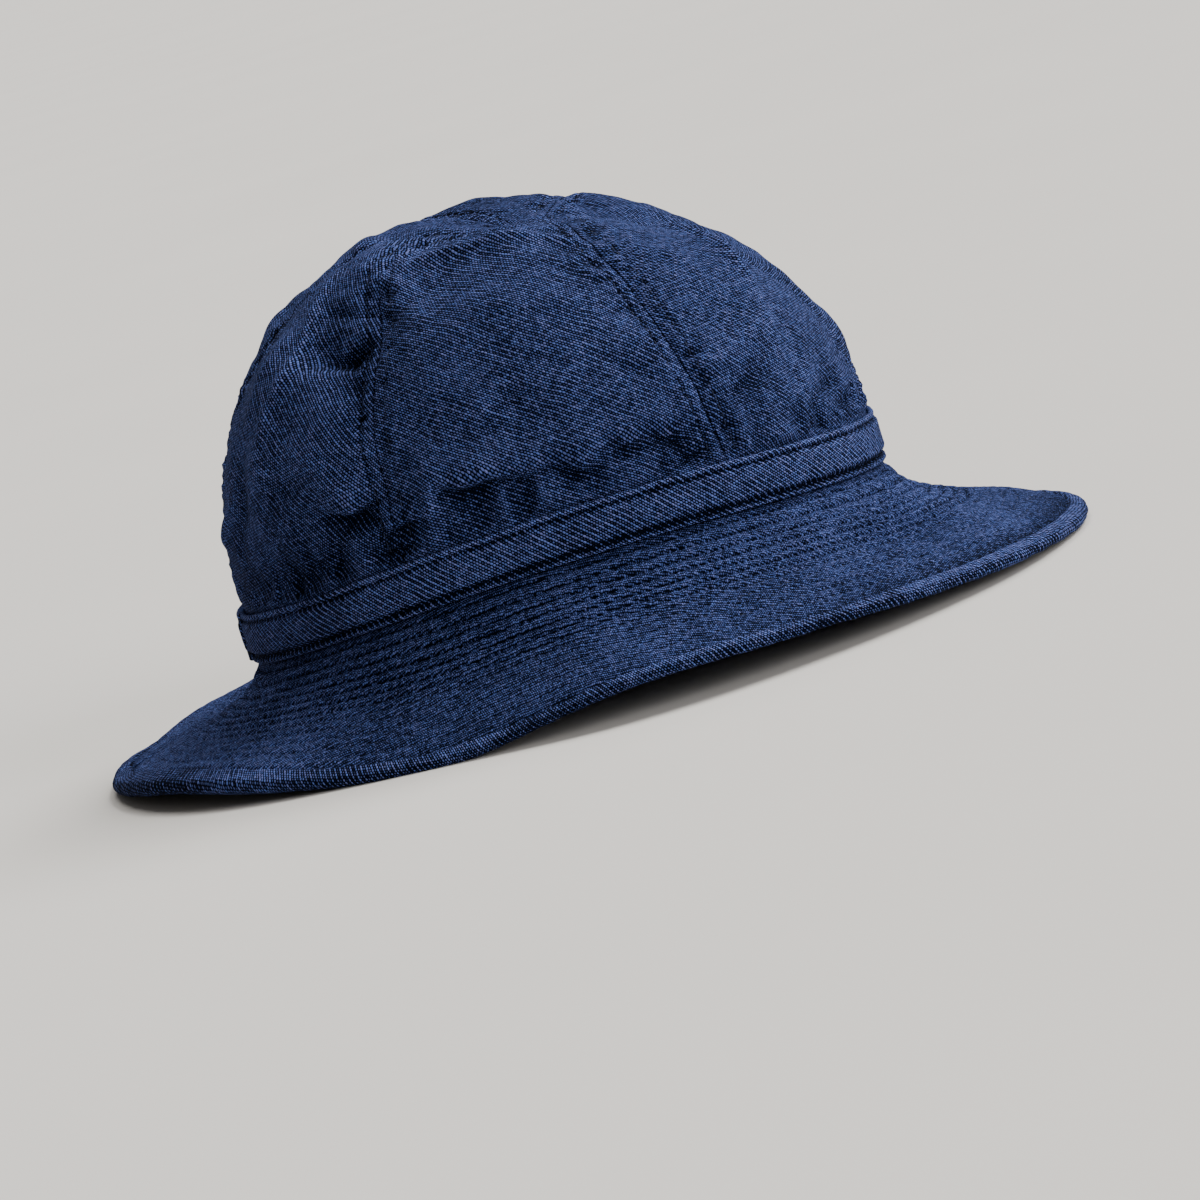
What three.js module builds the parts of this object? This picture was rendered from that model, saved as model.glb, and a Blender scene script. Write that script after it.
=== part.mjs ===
// A soft fatigue hat: six crown panels, a folded band round their foot, and a brim of stitched plies with a
// turned edge. Millimetres, +X to the front, +Y to the wearer's left, +Z up. It rests on its brim at z = 0.
//
// A bearing is an angle round the crown in degrees: 0 is the centre front, 90 the wearer's left, -90 the
// right and 180 the centre back. A level runs up a panel, from 0 at the foot of the crown to 1 at the apex.
import * as THREE from "three";

// Crown
const CROWN_LENGTH = 210; // foot of the crown, front to back, outside the cloth
const CROWN_WIDTH = 176;
const CROWN_SHIFT = -2.1; // the crown's middle from the origin, along X
const CLOTH = 1.5; // wall of a crown panel
const APEX_X = 15; // the seams meet forward of the middle
const APEX_Z = 137;
const APEX_PULL = 4; // how late up the wall its middle moves towards the apex
const DISHED = 0.5; // share of the crown's reach inside which its top sinks to the apex
const SLACK = 0.8; // how far the cloth stands out all round above the band
const PUFF_POWER = 2.2; // how square a panel's swell is between its seams
const PUFF_LIFT = 1.1; // over 1 the swell lies above the middle of the panel's height
const PUFF_FLAT = 0.8; // under 1 it is more even up the panel
const SLACK_LIFT = 0.6; // the slack lies lower than the swell
const FOLD_START = 0.07; // share of the free wall in which folds fade out towards the band
const TOP_LEVEL = 0.995; // a panel's tip stops just short of the apex
const FOLD_REACH = 30; // a fold has faded this far below or above its own surface

// Line where the crown, the band and the brim are sewn together
const SEWN_SIDE_Z = 43; // its height at the sides
const SEWN_DIP = 11.2; // how far it dips to the front and the back
const SEWN_TILT = 3.3; // how far it rises to the front and falls to the back

// Band
const BAND_HEIGHT = 16;
const BAND_THICK = 1.9;
const BAND_EDGE = 0.7; // how far its rolled edges draw in
const BAND_GAP = 0.45; // clearance between the band and the crown

// Brim
const BRIM_THICK = 2.6; // stitched plies
const BRIM_SHARES = [0, 0.07, 0.17, 0.36, 0.62]; // where a section has points before the turned edge
const EDGE_THICK = 4.2; // the turned edge
const EDGE_WIDTH = 7;
const EDGE_RISE = 2.8; // width over which the plies thicken into the edge
const EDGE_ROUND = 1; // how far the edge's upper and lower faces stop before its tip
const ROOT_SHARE = 0.18; // share of the brim's width that bends away from the sewn line
const BRIM_TUCK = 1.6; // how far the brim runs in under the crown's wall

// Fineness of the mesh
const GAP = 0.3; // clearance between two pieces
const PANEL_COLUMNS = 12;
const PANEL_ROWS = 18;
const RING_STEPS = 72;
const SLOPE_STEPS = 20; // steps along the brim when its slope is summed
const NEAR_BEARING = 0.5; // how far off the wall's directions are taken
const NEAR_LEVEL = 0.01;

// How the crown's wall rises at each bearing: how square its curve is, the height that it rises to, and how
// far the cloth swells between its seams.
const CROWN_WALL = [
  { bearing: -180, square: 2.8, top: 145, puff: 2.5 },
  { bearing: -150, square: 2.85, top: 144, puff: 4 },
  { bearing: -118, square: 2.75, top: 142, puff: 4 },
  { bearing: -90, square: 2.5, top: 141, puff: 6 },
  { bearing: -58, square: 2.35, top: 140, puff: 4 },
  { bearing: -30, square: 2.5, top: 127, puff: 3 },
  { bearing: 0, square: 2.65, top: 119, puff: 2 },
  { bearing: 30, square: 2.8, top: 128, puff: 3 },
  { bearing: 58, square: 2.5, top: 142, puff: 3 },
  { bearing: 90, square: 2.5, top: 148, puff: 4 },
  { bearing: 118, square: 2.75, top: 150, puff: 3 },
  { bearing: 150, square: 2.8, top: 148, puff: 3.5 },
];

// The seams between the panels: the bearing of each at the foot of the crown, half way up, on the shoulder
// and at the apex.
const SEAM_LEVELS = { foot: 0, half: 0.5, shoulder: 0.72, tip: 1 };
const SEAMS = {
  centreBack: { foot: -180, half: -179, shoulder: -180, tip: -180 },
  rightRear: { foot: -118, half: -123, shoulder: -135, tip: -136 },
  rightFront: { foot: -58, half: -63, shoulder: -69, tip: -66 },
  centreFront: { foot: 0, half: -3, shoulder: -3, tip: 0 },
  leftFront: { foot: 58, half: 63, shoulder: 68, tip: 66 },
  leftRear: { foot: 118, half: 122, shoulder: 127, tip: 124 },
};

// Dents and folds of the crown: where each lies, how its length is turned from level, its half length, its
// half width, and how far it stands out, or in where that is negative.
const CROWN_FOLDS = [
  { name: "hollow behind rear seam", bearing: -137, level: 0.5, turn: -30, long: 17, wide: 11, out: -6 },
  { name: "shoulder above that hollow", bearing: -143, level: 0.72, turn: -20, long: 16, wide: 8, out: 3 },
  { name: "hollow at rear seam's foot", bearing: -124, level: 0.17, turn: 0, long: 18, wide: 8, out: -3 },
  { name: "crest over right side", bearing: -113, level: 0.77, turn: -3, long: 26, wide: 7, out: 3.5 },
  { name: "slack under crest", bearing: -112, level: 0.6, turn: 0, long: 18, wide: 9, out: -2.5 },
  { name: "crease above band on right", bearing: -98, level: 0.13, turn: 10, long: 14, wide: 6, out: -2.5 },
  { name: "pucker at front seam's foot", bearing: -66, level: 0.14, turn: 10, long: 11, wide: 5, out: -2 },
  { name: "upright ridge of back panel", bearing: -149, level: 0.38, turn: 92, long: 28, wide: 9, out: 2.5 },
  { name: "upper ridge of back panel", bearing: -165, level: 0.68, turn: 130, long: 20, wide: 8, out: 2 },
  { name: "ridge of front panel", bearing: -32, level: 0.62, turn: 88, long: 28, wide: 9, out: 2.5 },
  { name: "swell beside centre front seam", bearing: 10, level: 0.22, turn: 90, long: 12, wide: 12, out: 3 },
  { name: "hollow of left side panel", bearing: 106, level: 0.5, turn: 30, long: 18, wide: 11, out: -4 },
  { name: "crease above band on left", bearing: 72, level: 0.14, turn: -10, long: 16, wide: 6, out: -2.5 },
  { name: "crest over left side", bearing: 104, level: 0.72, turn: 5, long: 24, wide: 8, out: 2 },
];

// How the brim falls at each bearing: its width, and its slope in degrees at the sewn line, over most of its
// width and at its edge.
const BRIM_FALL = [
  { bearing: -180, width: 64, root: 66, middle: 20, edge: 14 },
  { bearing: -150, width: 61, root: 48, middle: 24, edge: 14 },
  { bearing: -112, width: 62, root: 42, middle: 39, edge: 38 },
  { bearing: -86, width: 62, root: 36, middle: 32, edge: 28 },
  { bearing: -66, width: 63, root: 38, middle: 30, edge: 28 },
  { bearing: -45, width: 64, root: 44, middle: 28, edge: 28 },
  { bearing: -22, width: 67, root: 53, middle: 24, edge: 25 },
  { bearing: 0, width: 70, root: 62, middle: 19, edge: 25 },
  { bearing: 22, width: 66, root: 64, middle: 25, edge: 29 },
  { bearing: 45, width: 62, root: 60, middle: 32, edge: 31 },
  { bearing: 68, width: 63, root: 44, middle: 36, edge: 33 },
  { bearing: 90, width: 62, root: 38, middle: 33, edge: 31 },
  { bearing: 118, width: 62, root: 44, middle: 36, edge: 36 },
  { bearing: 150, width: 61, root: 54, middle: 27, edge: 20 },
];

const twill = new THREE.MeshStandardMaterial({ name: "indigo_twill", color: 0x23324f, roughness: 0.92 });

const radians = THREE.MathUtils.degToRad;
const clamp01 = (value) => THREE.MathUtils.clamp(value, 0, 1);
const smooth01 = (value) => THREE.MathUtils.smoothstep(value, 0, 1);

// The value at a place on a smooth curve through four points, between the second and the third.
function smoothBetween([before, start, end, after], place) {
  const span = end.place - start.place;
  const share = (place - start.place) / span;
  const leaving = ((end.value - before.value) / (end.place - before.place)) * span;
  const reaching = ((after.value - start.value) / (after.place - start.place)) * span;
  const square = share * share;
  const cube = square * share;
  return (
    (2 * cube - 3 * square + 1) * start.value +
    (cube - 2 * square + share) * leaving +
    (3 * square - 2 * cube) * end.value +
    (cube - square) * reaching
  );
}

// A column of one of the tables above at any bearing, all the way round.
function roundTable(rows, column, bearing) {
  const turned = THREE.MathUtils.euclideanModulo(bearing + 180, 360) - 180;
  let last = rows.length - 1;
  while (rows[last].bearing > turned) last -= 1;
  const points = [-1, 0, 1, 2].map((step) => {
    const lap = Math.floor((last + step) / rows.length);
    const row = rows[last + step - lap * rows.length];
    return { place: row.bearing + 360 * lap, value: row[column] };
  });
  return smoothBetween(points, turned);
}

// The bearing of a seam at a level.
function seamBearing(seam, level) {
  const names = Object.keys(SEAM_LEVELS);
  const points = names.map((name) => ({ place: SEAM_LEVELS[name], value: seam[name] }));
  const first = { place: 2 * points[0].place - points[1].place, value: points[1].value };
  const final = { place: 2 * points[3].place - points[2].place, value: points[2].value };
  const run = [first, ...points, final];
  const start = level < points[1].place ? 0 : level < points[2].place ? 1 : 2;
  return smoothBetween(run.slice(start, start + 4), level);
}

// Height of the sewn line.
function sewnHeight(bearing) {
  const forward = Math.cos(radians(bearing));
  return SEWN_SIDE_Z - SEWN_DIP * forward * forward + SEWN_TILT * forward;
}

// A point of the crown's smooth outer wall, before it swells and folds.
function wallPoint(bearing, level) {
  const square = roundTable(CROWN_WALL, "square", bearing);
  const climb = (level * Math.PI) / 2;
  const reach = Math.cos(climb) ** (2 / square);
  const rise = Math.sin(climb) ** (2 / square);
  const sunk = smooth01(reach / DISHED);
  const top = APEX_Z + (roundTable(CROWN_WALL, "top", bearing) - APEX_Z) * sunk;
  const foot = sewnHeight(bearing);
  const middle = CROWN_SHIFT + (APEX_X - CROWN_SHIFT) * rise ** APEX_PULL;
  return new THREE.Vector3(
    middle + (CROWN_LENGTH / 2) * reach * Math.cos(radians(bearing)),
    (CROWN_WIDTH / 2) * reach * Math.sin(radians(bearing)),
    foot + (top - foot) * rise,
  );
}

// The level at which the wall is so far above the sewn line.
function levelAtRise(bearing, height) {
  const square = roundTable(CROWN_WALL, "square", bearing);
  const full = roundTable(CROWN_WALL, "top", bearing) - sewnHeight(bearing);
  return (Math.asin((height / full) ** (square / 2)) * 2) / Math.PI;
}

// The wall's own directions at a point: level along the cloth, up the cloth, and out of it.
function wallAxes(bearing, level) {
  const before = wallPoint(bearing - NEAR_BEARING, level);
  const along = wallPoint(bearing + NEAR_BEARING, level).sub(before).normalize();
  const above = wallPoint(bearing, Math.min(level + NEAR_LEVEL, 0.999));
  const below = wallPoint(bearing, Math.max(level - NEAR_LEVEL, 0));
  const out = new THREE.Vector3().crossVectors(along, above.sub(below)).normalize();
  return { along, up: new THREE.Vector3().crossVectors(out, along), out };
}

// How far the dents and folds move a point of the wall.
function foldOffset(point) {
  return CROWN_FOLDS.reduce((sum, fold) => {
    const { along, up, out } = wallAxes(fold.bearing, fold.level);
    const away = point.clone().sub(wallPoint(fold.bearing, fold.level));
    const turn = radians(fold.turn);
    const right = away.dot(along);
    const high = away.dot(up);
    const lengthwise = (Math.cos(turn) * right + Math.sin(turn) * high) / fold.long;
    const crosswise = (Math.cos(turn) * high - Math.sin(turn) * right) / fold.wide;
    const deep = away.dot(out) / FOLD_REACH;
    return sum + fold.out * Math.exp(-(lengthwise ** 2 + crosswise ** 2 + deep ** 2));
  }, 0);
}

// A point of a panel, this deep under its outer face. Its swell has a share from 0 at the seams to 1 between.
function panelPoint(bearing, level, swell, depth) {
  const point = wallPoint(bearing, level);
  const held = levelAtRise(bearing, BAND_HEIGHT);
  const free = clamp01((level - held) / (1 - held));
  const arch = Math.sin(Math.PI * free ** PUFF_LIFT) ** PUFF_FLAT;
  const puff = roundTable(CROWN_WALL, "puff", bearing) * swell * arch;
  const slack = SLACK * Math.sin(Math.PI * free ** SLACK_LIFT);
  const folds = foldOffset(point) * smooth01(free / FOLD_START);
  return point.addScaledVector(wallAxes(bearing, level).out, puff + slack + folds - depth);
}

// A closed body from rows of points on its outer and inner faces, joined round their rim.
function shellGeometry(outer, inner) {
  const columns = outer[0].length;
  const rows = outer.length;
  const end = columns - 1;
  const top = rows - 1;
  const points = [...outer.flat(), ...inner.flat()];
  const faces = [];
  const quad = (a, b, c, d) => faces.push(a, b, c, a, c, d);
  const out = (row, column) => row * columns + column;
  const back = (row, column) => rows * columns + out(row, column);
  for (let row = 0; row < top; row += 1) {
    for (let column = 0; column < end; column += 1) {
      quad(out(row, column), out(row, column + 1), out(row + 1, column + 1), out(row + 1, column));
      quad(back(row, column), back(row + 1, column), back(row + 1, column + 1), back(row, column + 1));
    }
    quad(out(row, 0), out(row + 1, 0), back(row + 1, 0), back(row, 0));
    quad(back(row, end), back(row + 1, end), out(row + 1, end), out(row, end));
  }
  for (let column = 0; column < end; column += 1) {
    quad(out(0, column), back(0, column), back(0, column + 1), out(0, column + 1));
    quad(out(top, column), out(top, column + 1), back(top, column + 1), back(top, column));
  }
  return indexedGeometry(points, faces);
}

// A closed ring lofted through sections, each a closed loop of points, taken at even bearings.
function ringGeometry(sectionAt) {
  const bearings = Array.from({ length: RING_STEPS }, (_, step) => (360 * step) / RING_STEPS - 180);
  const sections = bearings.map(sectionAt);
  const size = sections[0].length;
  const faces = [];
  sections.forEach((_, step) => {
    const here = step * size;
    const next = ((step + 1) % RING_STEPS) * size;
    for (let index = 0; index < size; index += 1) {
      const follow = (index + 1) % size;
      faces.push(here + index, next + index, next + follow, here + index, next + follow, here + follow);
    }
  });
  return indexedGeometry(sections.flat(), faces);
}

// A smooth-shaded geometry from points and triangles.
function indexedGeometry(points, faces) {
  const geometry = new THREE.BufferGeometry().setFromPoints(points);
  geometry.setIndex(faces);
  geometry.computeVertexNormals();
  return geometry;
}

// One crown panel between two seams. Its sides keep half the gap from each seam.
function crownPanel(first, last) {
  const outer = [];
  const inner = [];
  for (let row = 0; row <= PANEL_ROWS; row += 1) {
    const outside = [];
    const inside = [];
    for (let column = 0; column <= PANEL_COLUMNS; column += 1) {
      const share = column / PANEL_COLUMNS;
      const plainFoot = first.foot + (last.foot - first.foot) * share;
      const held = levelAtRise(plainFoot, BAND_HEIGHT);
      const free = held + (TOP_LEVEL - held) * ((row - 1) / (PANEL_ROWS - 1));
      const level = row === 0 ? levelAtRise(plainFoot, GAP) : free;
      const start = seamBearing(first, level);
      const plain = start + (seamBearing(last, level) - start) * share;
      const near = wallPoint(plain - NEAR_BEARING, level).distanceTo(wallPoint(plain + NEAR_BEARING, level));
      const perDegree = near / (2 * NEAR_BEARING);
      const bearing = plain + ((GAP / 2) * (1 - 2 * share)) / perDegree;
      const swell = 1 - Math.abs(2 * share - 1) ** PUFF_POWER;
      outside.push(panelPoint(bearing, level, swell, 0));
      inside.push(panelPoint(bearing, level, swell, CLOTH));
    }
    outer.push(outside);
    inner.push(inside);
  }
  return shellGeometry(outer, inner);
}

// The band's section: a folded strip with soft edges, just clear of the crown's wall.
function bandSection(bearing) {
  const outline = [
    { rise: 0, out: 0 },
    { rise: 0, out: BAND_THICK - BAND_EDGE },
    { rise: BAND_EDGE, out: BAND_THICK },
    { rise: BAND_HEIGHT / 2, out: BAND_THICK },
    { rise: BAND_HEIGHT - BAND_EDGE, out: BAND_THICK },
    { rise: BAND_HEIGHT, out: BAND_THICK - BAND_EDGE },
    { rise: BAND_HEIGHT, out: 0 },
    { rise: BAND_HEIGHT / 2, out: 0 },
  ];
  return outline.map(({ rise, out }) => {
    const level = levelAtRise(bearing, Math.max(rise, GAP));
    const point = wallPoint(bearing, level).addScaledVector(wallAxes(bearing, level).out, BAND_GAP + out);
    point.z = sewnHeight(bearing) + rise;
    return point;
  });
}

// The level direction straight out of the sewn line.
function outward(bearing) {
  const x = Math.cos(radians(bearing)) / CROWN_LENGTH;
  const y = Math.sin(radians(bearing)) / CROWN_WIDTH;
  return new THREE.Vector3(x, y, 0).normalize();
}

// The brim's upper face, at a share of its width, with the slope there.
function brimTop(bearing, share) {
  const width = roundTable(BRIM_FALL, "width", bearing);
  const root = roundTable(BRIM_FALL, "root", bearing);
  const middle = roundTable(BRIM_FALL, "middle", bearing);
  const edge = roundTable(BRIM_FALL, "edge", bearing);
  const slopeAt = (part) => {
    const bend = (root - middle) * Math.exp(-((part / ROOT_SHARE) ** 2));
    return radians(middle + (edge - middle) * part + bend);
  };
  let run = 0;
  let drop = GAP;
  for (let step = 0; step < SLOPE_STEPS; step += 1) {
    const slope = slopeAt((share * (step + 0.5)) / SLOPE_STEPS);
    run += (Math.cos(slope) * share * width) / SLOPE_STEPS;
    drop += (Math.sin(slope) * share * width) / SLOPE_STEPS;
  }
  const point = wallPoint(bearing, 0).addScaledVector(outward(bearing), run);
  point.z = sewnHeight(bearing) - drop;
  return { point, slope: slopeAt(share) };
}

// The brim's section: plies of even thickness, thicker in the turned edge, flat where the edge is laid down.
function brimSection(bearing) {
  const width = roundTable(BRIM_FALL, "width", bearing);
  const hem = 1 - EDGE_WIDTH / width;
  const halfRise = EDGE_RISE / 2 / width;
  const shares = [...BRIM_SHARES, hem - halfRise, hem + halfRise, 1 - EDGE_ROUND / width];
  const out = outward(bearing);
  const upper = [];
  const lower = [];
  shares.forEach((share) => {
    const { point, slope } = brimTop(bearing, share);
    const normal = out.clone().multiplyScalar(Math.sin(slope));
    normal.z = Math.cos(slope);
    const extra = (EDGE_THICK - BRIM_THICK) * smooth01((share - hem) / halfRise / 2 + 0.5);
    upper.push(point.clone().addScaledVector(normal, extra / 2));
    lower.push(point.clone().addScaledVector(normal, extra / 2 - BRIM_THICK - extra));
  });
  const { point, slope } = brimTop(bearing, 1);
  const tip = point.addScaledVector(out, (-Math.sin(slope) * BRIM_THICK) / 2);
  tip.z -= (Math.cos(slope) * BRIM_THICK) / 2;
  const tuckTop = upper[0].clone().addScaledVector(out, -BRIM_TUCK);
  const tuckBottom = lower[0].clone().addScaledVector(out, -BRIM_TUCK);
  tuckBottom.z = tuckTop.z - BRIM_THICK;
  const loop = [tuckBottom, ...lower, tip, ...upper.reverse(), tuckTop];
  loop.forEach((corner) => {
    corner.z = Math.max(corner.z, 0);
  });
  return loop;
}

// A piece of the hat in its own twill.
function namedMesh(name, geometry) {
  const mesh = new THREE.Mesh(geometry, twill.clone());
  mesh.name = name;
  return mesh;
}

const leftBack = { foot: 180, half: 181, shoulder: 180, tip: 180 }; // the centre-back seam, met from the left
const PANELS = [
  { name: "crown_panel_back_right", first: SEAMS.centreBack, last: SEAMS.rightRear },
  { name: "crown_panel_side_right", first: SEAMS.rightRear, last: SEAMS.rightFront },
  { name: "crown_panel_front_right", first: SEAMS.rightFront, last: SEAMS.centreFront },
  { name: "crown_panel_front_left", first: SEAMS.centreFront, last: SEAMS.leftFront },
  { name: "crown_panel_side_left", first: SEAMS.leftFront, last: SEAMS.leftRear },
  { name: "crown_panel_back_left", first: SEAMS.leftRear, last: leftBack },
];

const hat = new THREE.Group();
PANELS.forEach(({ name, first, last }) => hat.add(namedMesh(name, crownPanel(first, last))));
hat.add(namedMesh("hat_band", ringGeometry(bandSection)));
hat.add(namedMesh("brim", ringGeometry(brimSection)));

export default hat;
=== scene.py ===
"""A soft fatigue hat in indigo twill: six crown panels, a folded band and a brim of stitched plies.

The form is worked out in millimetres and degrees, and the meshes are written in metres. +X is the front, +Y
the wearer's left and +Z up. A bearing goes round the crown: 0 is the centre front, 90 the wearer's left, -90
the right and 180 the centre back. A level goes up a crown panel, from 0 at its foot to 1 at the apex.
"""

import logging
from dataclasses import dataclass, field
from enum import Enum, IntEnum
from itertools import product

import bpy
import numpy as np
from mathutils import Matrix, Vector

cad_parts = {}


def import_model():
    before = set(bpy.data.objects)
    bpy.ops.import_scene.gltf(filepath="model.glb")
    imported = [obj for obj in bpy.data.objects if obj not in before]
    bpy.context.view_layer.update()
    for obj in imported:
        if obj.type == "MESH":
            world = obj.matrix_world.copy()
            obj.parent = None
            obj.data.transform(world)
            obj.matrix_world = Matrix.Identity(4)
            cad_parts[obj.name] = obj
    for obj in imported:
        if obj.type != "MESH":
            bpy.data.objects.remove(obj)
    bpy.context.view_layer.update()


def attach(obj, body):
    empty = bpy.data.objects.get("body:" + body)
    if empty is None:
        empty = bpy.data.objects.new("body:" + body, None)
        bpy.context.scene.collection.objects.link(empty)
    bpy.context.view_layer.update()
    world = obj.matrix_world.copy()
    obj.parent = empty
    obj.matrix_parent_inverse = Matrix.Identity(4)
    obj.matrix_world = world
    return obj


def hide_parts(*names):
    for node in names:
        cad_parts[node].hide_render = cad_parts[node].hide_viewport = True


MM = 0.001
BODY = "root"
CLOTH_MAP = "cloth"  # along and across the ribs of the twill, in millimetres
WEAR_AND_SHADE = "worn"  # over 0 on ridges, which are rubbed pale, and under 0 in grooves, dents, seams, stitched rows and on the turned edge's underside, where it is painted shade
HALF_WAY = 0.5  # levels at which a seam's bearing is given, between its foot and its tip
SHOULDER = 0.72
JOIN_STEEPNESS = 40.0
TINY = 1e-9  # keeps a vector without length from dividing by 0

Array = np.ndarray
Pair = tuple[float, float]
Triple = tuple[float, float, float]

log = logging.getLogger("hat")


def smoothstep(low: float, high: float, value: Array) -> Array:
    """A smooth rise from 0 at low to 1 at high.

    Args:
        low: where the rise starts.
        high: where it ends.
        value: the values to map.

    Returns:
        The risen values, from 0 to 1.
    """
    part = np.clip((value - low) / (high - low), 0.0, 1.0)
    return part * part * (3.0 - 2.0 * part)


def bump(place: float, width: float, value: Array) -> Array:
    """A soft hump of height 1.

    Args:
        place: where its top is.
        width: how far from the top it has fallen to about a third.
        value: the values to map.

    Returns:
        The hump's height at each value.
    """
    return np.exp(-(((value - place) / width) ** 2))


def unit(vectors: Array) -> Array:
    """The vectors at length 1."""
    return vectors / np.maximum(np.linalg.norm(vectors, axis=-1, keepdims=True), TINY)


def level_circle(value: Array) -> Array:
    """Bearings or their differences, brought to between -180 and 180."""
    return np.mod(value + 180.0, 360.0) - 180.0


def run_along(points: Array) -> Array:
    """The distance run along lines of points.

    Args:
        points: the lines, each a row of points.

    Returns:
        The distance run at each point.
    """
    strides = np.linalg.norm(np.diff(points, axis=-2), axis=-1)
    start = np.zeros((*strides.shape[:-1], 1))
    return np.concatenate([start, np.cumsum(strides, axis=-1)], axis=-1)


def curve_through(places: Array, values: Array, start: Array, place: Array) -> Array:
    """A smooth curve through given points.

    Args:
        places: where the given points lie, rising.
        values: what they are worth.
        start: for each place asked for, the index of the given point before it.
        place: the places asked for.

    Returns:
        The curve's values at those places.
    """
    before, here, after, beyond = (places[start + step] for step in (-1, 0, 1, 2))
    first, low, high, final = (values[start + step] for step in (-1, 0, 1, 2))
    span = after - here
    share = (place - here) / span
    leaving = (high - first) / (after - before) * span
    reaching = (final - low) / (beyond - here) * span
    square = share * share
    cube = square * share
    return (
        (2 * cube - 3 * square + 1) * low
        + (cube - 2 * square + share) * leaving
        + (3 * square - 2 * cube) * high
        + (cube - square) * reaching
    )


class RoundTable:
    """Values given at some bearings, which run smoothly between them all the way round."""

    def __init__(self, names: tuple[str, ...], rows: tuple[tuple[float, ...], ...]) -> None:
        """Keeps the columns, repeated a lap before and after.

        Args:
            names: the columns' names, after the bearing.
            rows: a bearing and its values, with the bearings rising from -180.
        """
        table = np.array(rows)
        self.places = np.concatenate([table[:, 0] + lap for lap in (-360.0, 0.0, 360.0)])
        self.columns = {name: np.tile(table[:, index + 1], 3) for index, name in enumerate(names)}

    def at(self, name: str, bearing: Array) -> Array:
        """A column's values at any bearings.

        Args:
            name: the column.
            bearing: the bearings.

        Returns:
            The values there.
        """
        turned = level_circle(bearing)
        start = np.searchsorted(self.places, turned, side="right") - 1
        return curve_through(self.places, self.columns[name], start, turned)


@dataclass(frozen=True)
class Hump:
    """A soft hump round the hat: the bearing of its top, how far off it has sunk to a third, its height."""

    bearing: float
    width: float
    height: float = 1.0


def round_sum(humps: tuple[Hump, ...], bearing: Array) -> Array:
    """A sum of humps round the hat at some bearings, as a column."""
    return sum(hump.height * bump(hump.bearing, hump.width, bearing) for hump in humps)[:, None]


@dataclass(frozen=True)
class Ripple:
    """A layer of a cloth's unevenness: how far it stands out, its humps' two sizes and its sheet of noise."""

    out: float
    long: float
    wide: float
    sheet: float


class SoftNoise:
    """Smooth noise in space, from about -1 to 1, that is the same at every run."""

    cells = 256  # the lattice comes again after so many
    aside = 0.37  # keeps round places off the lattice's points, where the noise is 0
    gain = 1.7
    sheet_gap = 3.7  # from one flat sheet of noise to the next

    def __init__(self, seed: int) -> None:
        """Draws the lattice.

        Args:
            seed: which noise this is.
        """
        draw = np.random.default_rng(seed)
        self.order = draw.permutation(self.cells)
        self.slopes = unit(draw.normal(size=(self.cells, 3)))

    def at(self, places: Array, size: float) -> Array:
        """The noise at some places.

        Args:
            places: points, with three numbers each.
            size: about how far apart its humps are.

        Returns:
            One value for each point.
        """
        scaled = places / size + self.aside
        cell = np.floor(scaled).astype(int)
        part = scaled - cell
        # a rise from 0 to 1 that is level and straight at both ends
        ease = part**3 * (part * (part * 6 - 15) + 10)
        total = np.zeros(places.shape[:-1])
        for corner in product((0, 1), repeat=3):
            lattice = (cell + corner) % self.cells
            index = self.order[lattice[..., 0]]
            index = self.order[(index + lattice[..., 1]) % self.cells]
            index = self.order[(index + lattice[..., 2]) % self.cells]
            dot = np.sum(self.slopes[index] * (part - corner), axis=-1)
            total += dot * np.prod(np.where(corner, ease, 1 - ease), axis=-1)
        return total * self.gain

    def ripples(self, layers: tuple[Ripple, ...], along: Array, across: Array, sheet: Array = 0.0) -> Array:
        """A sum of ripples over a flat cloth.

        Args:
            layers: the ripples.
            along: distances one way over the cloth.
            across: distances the other way.
            sheet: which sheets of noise they start from.

        Returns:
            One value for each place.
        """
        total = 0.0
        for layer in layers:
            height = (layer.sheet + sheet) * self.sheet_gap
            places = np.broadcast_arrays(along / layer.long, across / layer.wide, np.float64(height))
            total = total + layer.out * self.at(np.stack(places, axis=-1), 1.0)
        return total


@dataclass(frozen=True)
class SeamLine:
    """A seam up the crown, by its bearing at the foot, half way up, on the shoulder and at the tip."""

    foot: float
    half: float
    shoulder: float
    tip: float

    def bearing(self, level: Array) -> Array:
        """The seam's bearing at some levels.

        Args:
            level: the levels.

        Returns:
            The bearings there.
        """
        # past the foot and the tip the seam goes on as on their near side
        places = np.array([-HALF_WAY, 0.0, HALF_WAY, SHOULDER, 1.0, 2.0 - SHOULDER])
        values = np.array([self.half, self.foot, self.half, self.shoulder, self.tip, self.shoulder])
        start = np.where(level < HALF_WAY, 1, np.where(level < SHOULDER, 2, 3))
        return curve_through(places, values, start, level)


@dataclass(frozen=True)
class Fold:
    """A dent or fold of the crown: its place, its turn from level, its half sizes and how far it is out."""

    bearing: float
    level: float
    turn: float
    long: float
    wide: float
    out: float
    crispness = 5.0  # how sudden the edge of a crisp one is, not a column of its own

    def profile(self, across: Array, crisp: bool) -> Array:
        """Its section.

        Args:
            across: distances up across it.
            crisp: whether it comes to an edge.

        Returns:
            How high it is there, from 0 to 1 in its middle.
        """
        square = (across / self.wide) ** 2
        return np.exp(1.0 - np.sqrt(1.0 + self.crispness * square) if crisp else -square)


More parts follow.
